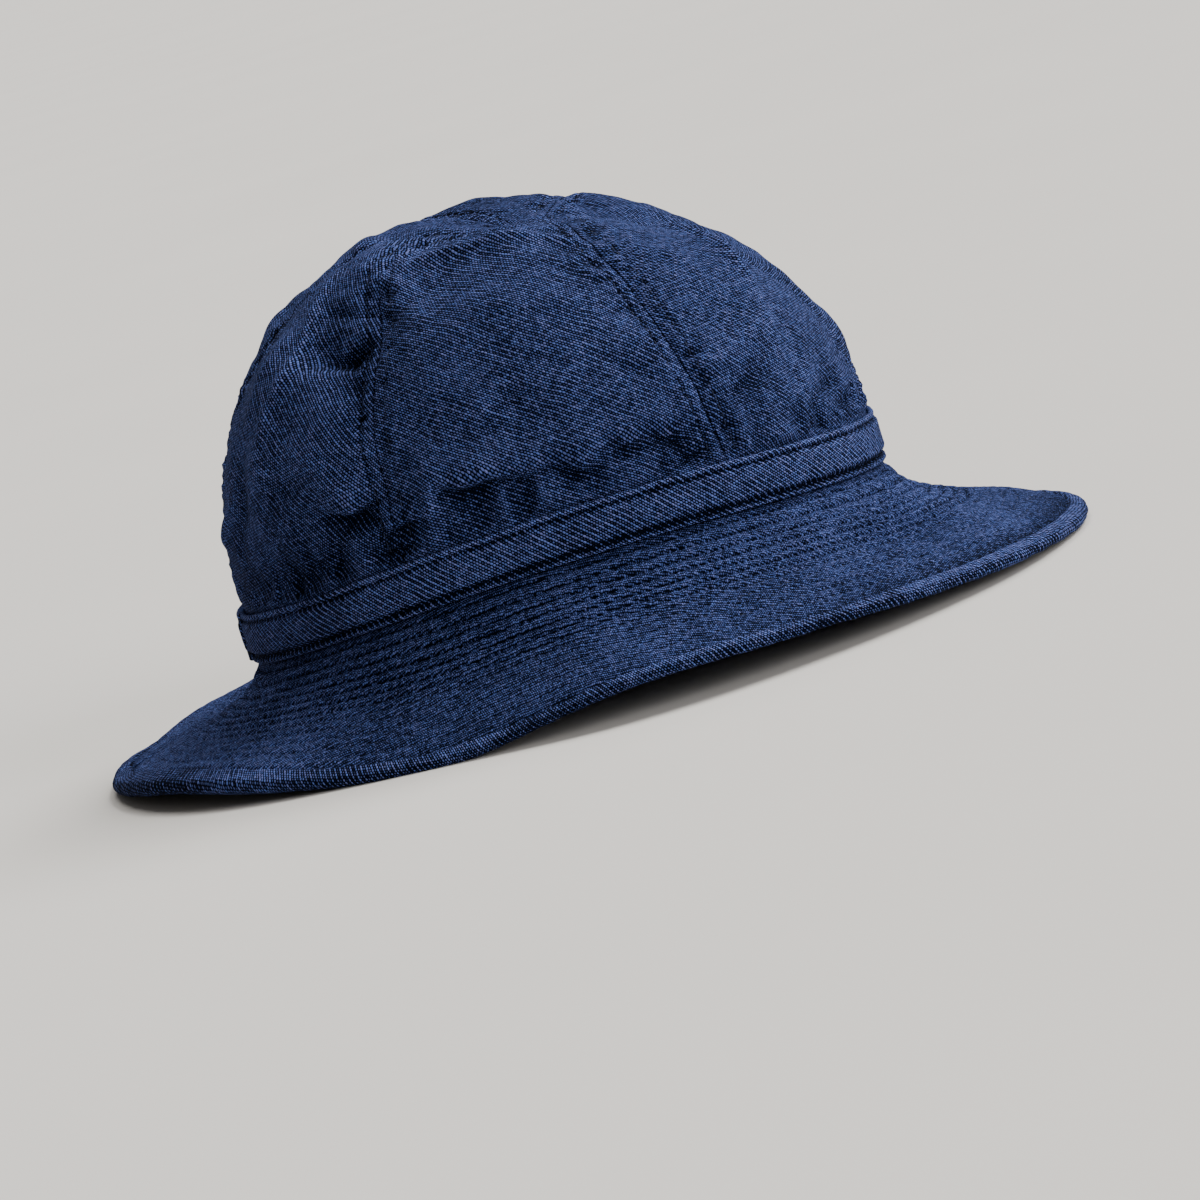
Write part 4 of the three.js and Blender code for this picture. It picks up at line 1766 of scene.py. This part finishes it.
@dataclass(frozen=True)
class Brim(HatCloth):
    """The brim: stitched plies in rows, with a thick turned edge, laid down where it meets the table."""

    node: str = "brim"
    plies: StitchedPlies = StitchedPlies()
    steps: int = 760
    edge_steps: int = 8  # over the turned edge, on each side
    tip_steps: int = 11  # round its tip
    underside: int = 28
    thick: float = 2.6
    tuck: float = 1.6  # how far it goes in under the band
    edge_thick: float = 4.3
    edge_width: float = 6.4
    hem_steps: Pair = (1.2, 0.6)  # the last points before the turned edge
    upper_sheet: float = 30.0
    under_sheet: float = 50.0
    under_faint: float = 0.7
    # the turned edge is slim at the sides, and plump behind the right ear
    slim: tuple[Hump, ...] = (Hump(-88.0, 42.0), Hump(88.0, 42.0))
    slim_width: float = -0.22
    slim_thick: float = -0.45
    plump: tuple[Hump, ...] = (Hump(-156.0, 24.0),)
    plump_width: float = 0.4
    plump_thick: float = 1.1
    # the far side dips beside the band, front and back, its edge stands up again, and its ends drop and thin
    dips: tuple[Hump, ...] = (Hump(32.0, 30.0, 3.4), Hump(158.0, 26.0, 4.0))
    dip_place: Pair = (0.34, 0.26)
    stands: tuple[Hump, ...] = (Hump(32.0, 30.0, 2.2), Hump(158.0, 26.0, 1.5))
    stand_start: Pair = (0.45, 0.9)
    ends: tuple[Hump, ...] = (Hump(22.0, 8.0), Hump(163.0, 8.0))
    end_drop: float = 1.5
    end_start: Pair = (0.5, 0.9)
    end_thick: float = -0.8
    grow_start: Pair = (-0.9, 1.3)
    hem_groove: float = -0.75  # where the edge is sewn down, less so where it is slim
    hem_groove_slim: float = 0.45
    hem_groove_place: Pair = (-0.3, 0.55)
    hem_ridge: float = 0.35  # of cloth pushed up beside it
    hem_ridge_place: Pair = (-2.4, 1.6)
    edge_ripples: tuple[Ripple, ...] = (Ripple(0.22, 3.4, 9.0, 41), Ripple(0.5, 22.0, 30.0, 42))
    edge_under: float = 0.5
    # the same left and right: the plies are paler towards the back, and the painted shade in their stitched
    # rows is deepest behind the ears
    sun: tuple[Hump, ...] = (Hump(180.0, 45.0, 0.5),)
    row_shade: tuple[Hump, ...] = (Hump(130.0, 45.0, 0.7),)
    least_row_shade: float = 0.1
    # how far the plies' relief shows in the colour: paler on their cushions, which is wear, and painted shade
    # in their grooves and pits
    relief_wear_and_shade: float = 0.5
    row_shade_wide: float = 0.7
    row_shade_end: Pair = (16.0, 34.0)
    edge_shade: tuple[float, ...] = (-0.05, -0.5, -0.9, 0.0)  # painted shade of each part after the upper face, deepest on the turned edge's underside
    # painted shade in the hem's stitched groove, and paler on the ridge beside it
    hem_shade_and_pale: float = 1.6
    # how the cloth's pattern is drawn out: across the ribs of the plies, and on the turned edge
    plies_stretch: Pair = (1.0, 0.67)
    edge_stretch: float = 0.85
    girdle: float = 1000.0  # length of the turned edge's cloth

    def _grid(self) -> BrimGrid:
        """Lays out the brim's sections.

        Returns:
            The grid.
        """
        bearing = np.linspace(-180.0, 180.0, self.steps + 1)
        foot = self.form.foot(bearing)
        width = BRIM_FALL.at("width", bearing)[:, None]
        slim, plump = (round_sum(humps, bearing) for humps in (self.slim, self.plump))
        hem = width - self.edge_width * (1.0 + self.slim_width * slim + self.plump_width * plump)
        tip = width - self.edge_thick / 2
        before, last = self.hem_steps
        upper = np.concatenate([np.minimum(self.plies.stations(), hem - before), hem - last, hem], axis=1)
        over = hem + (tip - hem) * np.linspace(0.0, 1.0, self.edge_steps)
        turn = np.radians(np.linspace(0.0, 180.0, self.tip_steps))[1:-1]
        low = hem * np.linspace(1.0, 0.0, self.underside)
        stretches = [upper, over, tip + 0.0 * turn, over[:, ::-1], low]
        part = np.repeat(list(BrimPart), [stretch.shape[1] for stretch in stretches])
        turns = np.where(part > BrimPart.TIP, np.pi, 0.0)
        turns[part == BrimPart.TIP] = turn
        reach = np.concatenate(stretches, axis=1)
        arc = run_along(foot)[:, None]
        return BrimGrid(bearing, foot, arc, width, hem, reach, part, turns)

    def _far_side(self, grid: BrimGrid) -> Array:
        """How far the far side of the brim is off its smooth form.

        Args:
            grid: the brim's sections.

        Returns:
            The distances upward.
        """
        share = grid.reach / grid.width
        dip = round_sum(self.dips, grid.bearing) * bump(*self.dip_place, share)
        stand = round_sum(self.stands, grid.bearing) * smoothstep(*self.stand_start, share)
        drop = self.end_drop * round_sum(self.ends, grid.bearing) * smoothstep(*self.end_start, share)
        return stand - dip - drop

    def _hem_groove(self, grid: BrimGrid) -> Array:
        """How far the cloth stands out where the turned edge is sewn down.

        Args:
            grid: the brim's sections.

        Returns:
            The distances outward.
        """
        past = grid.reach - grid.hem
        deep = self.hem_groove + self.hem_groove_slim * round_sum(self.slim, grid.bearing)
        return deep * bump(*self.hem_groove_place, past) + self.hem_ridge * bump(*self.hem_ridge_place, past)

    def _extra_thickness(self, grid: BrimGrid) -> Array:
        """How much thicker the brim is than its plies, which is only in the turned edge.

        Args:
            grid: the brim's sections.

        Returns:
            The thicknesses.
        """
        slim, plump, ends = (round_sum(humps, grid.bearing) for humps in (self.slim, self.plump, self.ends))
        stout = (1.0 + self.slim_thick * slim + self.plump_thick * plump) * (1.0 + self.end_thick * ends)
        return (self.edge_thick - self.thick) * stout * smoothstep(*self.grow_start, grid.reach - grid.hem)

    def _cloth(self, grid: BrimGrid) -> tuple[Array, Array, Array]:
        """The brim's points, from the sewn line out and back again.

        Args:
            grid: the brim's sections.

        Returns:
            The points, the directions out of the cloth, and its wear with painted shade.
        """
        meeting = fade_at_join(grid.arc)
        points, normals = self.form.brim_top(grid.bearing, grid.reach)
        points[..., 2] += self._far_side(grid)
        relief, under = (
            self.plies.relief(self.noise, grid.reach, grid.arc, sheet) * meeting
            for sheet in (self.upper_sheet, self.under_sheet)
        )
        ripple = self.noise.ripples(self.edge_ripples, grid.arc, grid.reach) * meeting
        groove = self._hem_groove(grid)
        grow = self._extra_thickness(grid)
        in_plies = grid.reach < grid.hem
        top = grow / 2 + groove + np.where(in_plies, relief, ripple)
        under = np.where(in_plies, under * self.under_faint, ripple * self.edge_under)
        lift = np.where(grid.part <= BrimPart.EDGE_TOP, top, -self.thick - grow / 2 - under)
        # round its tip the cloth turns about the middle of its thickness
        forward = self.form.outward(grid.bearing)[:, None, :] + 0.0 * normals
        outward = unit(np.cross(np.cross(normals, forward), normals))
        around = normals * np.cos(grid.turn)[:, None] + outward * np.sin(grid.turn)[:, None]
        tip = ((grow + self.thick) / 2 + ripple)[..., None] * around - normals * self.thick / 2
        in_tip = (grid.part == BrimPart.TIP)[:, None]
        points = points + np.where(in_tip, tip, normals * lift[..., None])
        parts = (BrimPart.EDGE_TOP, BrimPart.TIP, BrimPart.EDGE_UNDER, BrimPart.UNDERSIDE)
        # painted shade on the turned edge, deepest on its underside, and on the dips of its ripples, which
        # are paler on their rises
        edge_shade_and_wear = np.interp(grid.part, parts, self.edge_shade) + ripple
        plies_wear_and_shade = self.relief_wear_and_shade * relief + self._back_pale_and_row_shade(grid)
        return points, normals, np.where(in_plies, plies_wear_and_shade, edge_shade_and_wear) + self.hem_shade_and_pale * groove

    def _back_pale_and_row_shade(self, grid: BrimGrid) -> Array:
        """How much paler the plies are towards the back, and the painted shade in their stitched rows.

        Args:
            grid: the brim's sections.

        Returns:
            The paleness and painted shade.
        """
        sun, row_shade = (round_sum(humps, np.abs(grid.bearing)) for humps in (self.sun, self.row_shade))
        in_row = bump(0.0, self.row_shade_wide, self.plies.from_row(grid.reach))
        inner = 1.0 - smoothstep(*self.row_shade_end, grid.reach)
        return sun - (self.least_row_shade + row_shade) * in_row * inner

    def _pattern(self, grid: BrimGrid, on_edge: Array) -> Array:
        """Places on the flat cloth: the plies are cut level, and the edge's strip runs round the brim.

        Args:
            grid: the brim's sections.
            on_edge: whether each column belongs to the turned edge.

        Returns:
            Distances along and across the ribs.
        """
        out = self.form.outward(grid.bearing)[:, None, :]
        flat = grid.foot[:, None, :] + out * grid.reach[..., None]
        plies = Grain.BRIM.pattern(flat[..., 0], flat[..., 1]) * self.plies_stretch
        radius = self.edge_thick / 2
        back = grid.part == BrimPart.EDGE_UNDER
        rolled = np.where(back, 2 * (grid.width - radius) - grid.reach, grid.reach) + grid.turn * radius
        edge = Grain.EDGE.pattern(grid.arc / grid.arc[-1] * self.girdle, rolled) * self.edge_stretch
        return np.where(on_edge[:, None], edge, plies)

    def _tucked_in(self, grid: BrimGrid, points: Array) -> Array:
        """Closes the sections in under the band, and lays the brim down on the table.

        Args:
            grid: the brim's sections.
            points: the brim's points, from the sewn line out and back again.

        Returns:
            The points of the closed sections.
        """
        inward = -self.form.outward(grid.bearing)[:, None, :] * self.tuck
        high = points[:, :1] + inward
        low = points[:, -1:] + inward
        low[..., 2] = high[..., 2] - self.thick
        closed = np.concatenate([points, low, high, points[:, :1]], axis=1)
        closed[..., 2] = np.maximum(closed[..., 2], 0.0)
        closed[-1] = closed[0]
        return closed

    def _paths(self, grid: BrimGrid, points: Array, normals: Array) -> list[SeamPath]:
        """The paths of the stitches in its upper face, for the rows that stay clear of the turned edge.

        Args:
            grid: the brim's sections.
            points: the brim's points.
            normals: the directions out of the cloth.

        Returns:
            The paths.
        """
        stations = self.plies.stations()
        room = grid.width.min() - self.edge_width - self.hem_steps[0]
        columns = [int(np.argmin(np.abs(stations - place))) for place in self.plies.rows if place < room]
        return [SeamPath(points[:, column], normals[:, column]) for column in columns]

    def build(self, plies: bpy.types.Material, edging: bpy.types.Material) -> list[SeamPath]:
        """Builds and dresses the brim.

        Args:
            plies: the twill of its stitched plies.
            edging: the twill of its turned edge.

        Returns:
            The paths of the stitches in its upper face.
        """
        grid = self._grid()
        cloth, normals, worn = self._cloth(grid)
        points = self._tucked_in(grid, cloth)
        on_edge = (grid.part >= BrimPart.EDGE_TOP) & (grid.part <= BrimPart.EDGE_UNDER)
        pattern = self._pattern(grid, on_edge)
        # the three columns that close the sections have the first one's cloth
        added = points.shape[1] - cloth.shape[1]
        pattern = np.concatenate([pattern] + [pattern[:, :1]] * added, axis=1)
        worn = np.pad(worn, ((0, 0), (0, added)))
        turned = np.pad(on_edge, (0, added)) + 0.0 * worn
        layers = (np.swapaxes(item, 0, 1) for item in (points, pattern, worn, turned))
        dress(ClothSheet("twill_brim", *layers).build_ring(), plies, edging, node=self.node)
        return self._paths(grid, points, normals)


@dataclass(frozen=True)
class Stitching:
    """Lockstitches along paths: one stitch is modelled, and copied along every path."""

    name: str
    seed: int
    pitch: float = 2.7
    sink: float = 0.02
    length: float = 2.15
    thick: float = 0.42
    sides: int = 6
    bend_at: float = 0.22  # of its length from its middle, where it starts to go down
    bend: float = 0.68  # how far its ends go down, as a share of its thickness
    pinch: float = 0.35  # how much narrower they are
    swing: float = 0.07
    bob: float = 0.03
    sizes: Pair = (0.9, 1.08)

    def _stitch(self) -> tuple[Array, list[list[int]]]:
        """Models one stitch, lying along X with its ends drawn down into the cloth.

        Returns:
            Its points, and its faces as corners.
        """
        bpy.ops.object.select_all(action="DESELECT")
        bpy.ops.mesh.primitive_cylinder_add(
            vertices=self.sides, radius=self.thick / 2, depth=self.length, rotation=(0.0, np.pi / 2, 0.0)
        )
        stitch = bpy.context.object
        bpy.ops.object.transform_apply(location=False, rotation=True, scale=True)
        bpy.ops.object.mode_set(mode="EDIT")
        for side in (1, -1):
            bpy.ops.mesh.select_all(action="SELECT")
            bpy.ops.mesh.bisect(plane_co=(side * self.length * self.bend_at, 0, 0), plane_no=(1, 0, 0))
        bpy.ops.object.mode_set(mode="OBJECT")
        mesh = stitch.data
        for vertex in mesh.vertices:
            far = abs(vertex.co.x) / (self.length / 2)
            vertex.co.z -= self.bend * self.thick * far**2
            vertex.co.y *= 1.0 - self.pinch * far**2
        points = np.array([vertex.co for vertex in mesh.vertices])
        faces = [list(face.vertices) for face in mesh.polygons]
        bpy.data.objects.remove(stitch)
        bpy.data.meshes.remove(mesh)
        return points, faces

    def _places(self, path: SeamPath) -> tuple[Array, Array, Array]:
        """Where the stitches of a path lie.

        Args:
            path: the path.

        Returns:
            Their middles, their directions and the directions out of the cloth.
        """
        run = run_along(path.points)
        count = max(1, round(run[-1] / self.pitch))
        middle = (np.arange(count) + 0.5) * run[-1] / count

        def along(values: Array, place: Array) -> Array:
            """Values of the path at some distances along it."""
            return np.stack([np.interp(place, run, values[:, axis]) for axis in range(3)], axis=-1)

        ahead = along(path.points, np.minimum(middle + self.length / 2, run[-1]))
        behind = along(path.points, np.maximum(middle - self.length / 2, 0.0))
        direction = unit(ahead - behind)
        normal = along(path.normals, middle)
        normal = unit(normal - direction * np.sum(normal * direction, axis=-1, keepdims=True))
        return (ahead + behind) / 2, direction, normal

    def _copies(self, shape: Array, paths: list[SeamPath]) -> Array:
        """Lays the stitch along the paths, each a little different.

        Args:
            shape: the stitch's points.
            paths: the paths.

        Returns:
            The points of every copy.
        """
        places = [self._places(path) for path in paths]
        middle, direction, normal = (np.concatenate(parts) for parts in zip(*places))
        count = len(middle)
        draw = np.random.default_rng(self.seed)
        swing = draw.normal(0.0, self.swing, (count, 1))
        direction = unit(direction + np.cross(normal, direction) * swing)
        side = np.cross(normal, direction)
        local = shape[None] * draw.uniform(*self.sizes, (count, 1, 1))
        raised = middle + normal * (draw.normal(0.0, self.bob, (count, 1)) - self.sink)
        axes = np.stack([direction, side, normal], axis=1)
        return raised[:, None] + local @ axes

    def build(self, paths: list[SeamPath], material: bpy.types.Material) -> bpy.types.Object:
        """Copies the stitch along the paths as one piece.

        Args:
            paths: the paths.
            material: the thread.

        Returns:
            The piece.
        """
        shape, faces = self._stitch()
        points = self._copies(shape, paths)
        count, size = points.shape[:2]
        corners = [[index + copy * size for index in face] for copy in range(count) for face in faces]
        mesh = bpy.data.meshes.new(self.name)
        mesh.from_pydata((points.reshape(-1, 3) * MM).tolist(), [], corners)
        layer = mesh.uv_layers.new(name=CLOTH_MAP)
        place = np.stack([shape[:, 0], np.arctan2(shape[:, 2], shape[:, 1]) / np.pi], axis=-1)
        index = np.concatenate([np.array(face) for face in faces])
        layer.data.foreach_set("uv", np.tile(place[index], (count, 1)).ravel())
        piece = bpy.data.objects.new(self.name, mesh)
        bpy.context.scene.collection.objects.link(piece)
        return dress(piece, material)


@dataclass(frozen=True)
class SoftSun:
    """A light of the studio, which comes from one side all over."""

    name: str
    place: Triple  # to the camera's right, up and backward from the hat
    power: float
    tone: Triple
    softness: float = 0.6  # its angle as seen from the hat


@dataclass(frozen=True)
class Studio:
    """A plain pale floor, soft lights and the camera."""

    target: Triple = (-0.0011, 0.0, 0.0318)
    distance: float = 1.6
    elevation: float = 9.0
    roll: float = 16.1
    aside: Pair = (0.00903, -0.01452)  # how far right and up of the target the camera aims
    lens: float = 148.8
    sensor: float = 36.0
    farthest: float = 400.0
    floor_size: float = 240.0
    floor_height: float = -0.0001
    floor: Matt = Matt("pale floor", (0.74, 0.72, 0.69))
    sky: tuple[float, float, float, float] = (1.0, 0.96, 0.91, 1.0)
    sky_power: float = 0.15
    suns: tuple[SoftSun, ...] = (
        SoftSun("key", (0.6, 1.6, -0.3), 3.8, (1.0, 0.985, 0.96)),
        SoftSun("fill", (1.1, 0.8, 1.1), 1.9, (1.0, 0.98, 0.96)),
        SoftSun("far side", (-0.5, 1.7, -0.6), 1.5, (1.0, 0.98, 0.95)),
    )

    def axes(self) -> tuple[Vector, Vector, Vector]:
        """The camera's directions.

        Returns:
            The directions to its right, up and backward.
        """
        tilt = np.radians(self.elevation)
        turn = np.radians(self.roll)
        level = Vector((1.0, 0.0, 0.0))
        upright = Vector((0.0, np.sin(tilt), np.cos(tilt)))
        right = level * np.cos(turn) - upright * np.sin(turn)
        up = level * np.sin(turn) + upright * np.cos(turn)
        return right, up, right.cross(up)

    def add_camera(self) -> None:
        """Adds the camera and makes it the scene's."""
        right, up, back = self.axes()
        place = Vector(self.target) + back * self.distance + right * self.aside[0] + up * self.aside[1]
        turn = Matrix((right, up, back)).transposed()
        bpy.ops.object.camera_add(location=place, rotation=turn.to_euler())
        camera = bpy.context.object
        camera.name = "camera"
        camera.data.lens = self.lens
        camera.data.sensor_width = self.sensor
        camera.data.clip_end = self.farthest
        bpy.context.scene.camera = camera

    def add_sun(self, sun: SoftSun) -> None:
        """Adds a light that faces the hat.

        Args:
            sun: the light.
        """
        away = sum((axis * part for axis, part in zip(self.axes(), sun.place)), Vector())
        toward = (-away).to_track_quat("-Z", "Y")
        bpy.ops.object.light_add(type="SUN", location=Vector(self.target) + away, rotation=toward.to_euler())
        light = bpy.context.object
        light.name = sun.name
        light.data.energy = sun.power
        light.data.color = sun.tone
        light.data.angle = sun.softness

    def build(self) -> None:
        """Adds the floor, the lights, the surroundings and the camera."""
        bpy.ops.object.select_all(action="DESELECT")
        bpy.ops.mesh.primitive_plane_add(size=self.floor_size, location=(0.0, 0.0, self.floor_height))
        plane = bpy.context.object
        plane.name = "floor"
        plane.data.materials.append(self.floor.material())
        for sun in self.suns:
            self.add_sun(sun)
        world = bpy.data.worlds.new("studio")
        world.use_nodes = True
        sky = world.node_tree.nodes["Background"]
        sky.inputs["Color"].default_value = self.sky
        sky.inputs["Strength"].default_value = self.sky_power
        bpy.context.scene.world = world
        self.add_camera()


@dataclass
class Hat:
    """The whole hat."""

    form: HatForm = field(default_factory=HatForm)
    noise: SoftNoise = field(default_factory=lambda: SoftNoise(seed=17))
    panels: tuple[CrownPanel, ...] = (
        CrownPanel("crown_panel_back_right", CENTRE_BACK, RIGHT_REAR, layer=1, lean=-17.0),
        CrownPanel("crown_panel_side_right", RIGHT_REAR, RIGHT_FRONT, layer=2, lean=-3.0),
        CrownPanel("crown_panel_front_right", RIGHT_FRONT, CENTRE_FRONT, layer=3, lean=-14.0),
        CrownPanel("crown_panel_front_left", CENTRE_FRONT, LEFT_FRONT, layer=4, lean=22.0),
        CrownPanel("crown_panel_side_left", LEFT_FRONT, LEFT_REAR, layer=5, lean=14.0),
        CrownPanel("crown_panel_back_left", LEFT_REAR, LEFT_BACK, layer=6, lean=-17.0),
    )
    crown_twill: Twill = Twill()
    band_twill: Twill = Twill(name="ribbed twill", line=0.8, low_line=0.56, fade=-0.2)
    edge_twill: Twill = Twill(name="turned twill", line=0.72, low_line=0.62, fade=-0.25, fuzzy=0.6)
    brim_twill: Twill = Twill(
        name="stitched twill",
        line=0.62,
        float_length=0.7,
        low_line=0.8,
        uneven=0.8,
        wobble=(0.45, 0.45, 0.0),
        fade=0.12,
        fuzzy=0.9,
        grain=2.6,
    )

    def build(self) -> None:
        """Builds every piece of the hat in its place."""
        thread = Thread().material()
        twill = self.crown_twill.material()
        cloth = CrownCloth(self.form, self.noise)
        crown = [path for panel in self.panels for path in panel.build(cloth, twill)]
        Stitching("crown_stitches", seed=5, pitch=cloth.stitch).build(crown, thread)
        band = HatBand(self.form, self.noise).build(self.band_twill.material())
        Stitching("band_stitches", seed=6, sink=0.22).build(band, thread)
        brim = Brim(self.form, self.noise)
        rows = brim.build(self.brim_twill.material(), self.edge_twill.material())
        Stitching("brim_stitches", seed=7, pitch=brim.plies.stitch, sink=0.1).build(rows, thread)


def main() -> None:
    """Loads the frame, and builds the hat and the studio round it."""
    logging.basicConfig(level=logging.INFO, format="%(name)s: %(message)s")
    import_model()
    Hat().build()
    Studio().build()


if __name__ == "__main__":
    main()
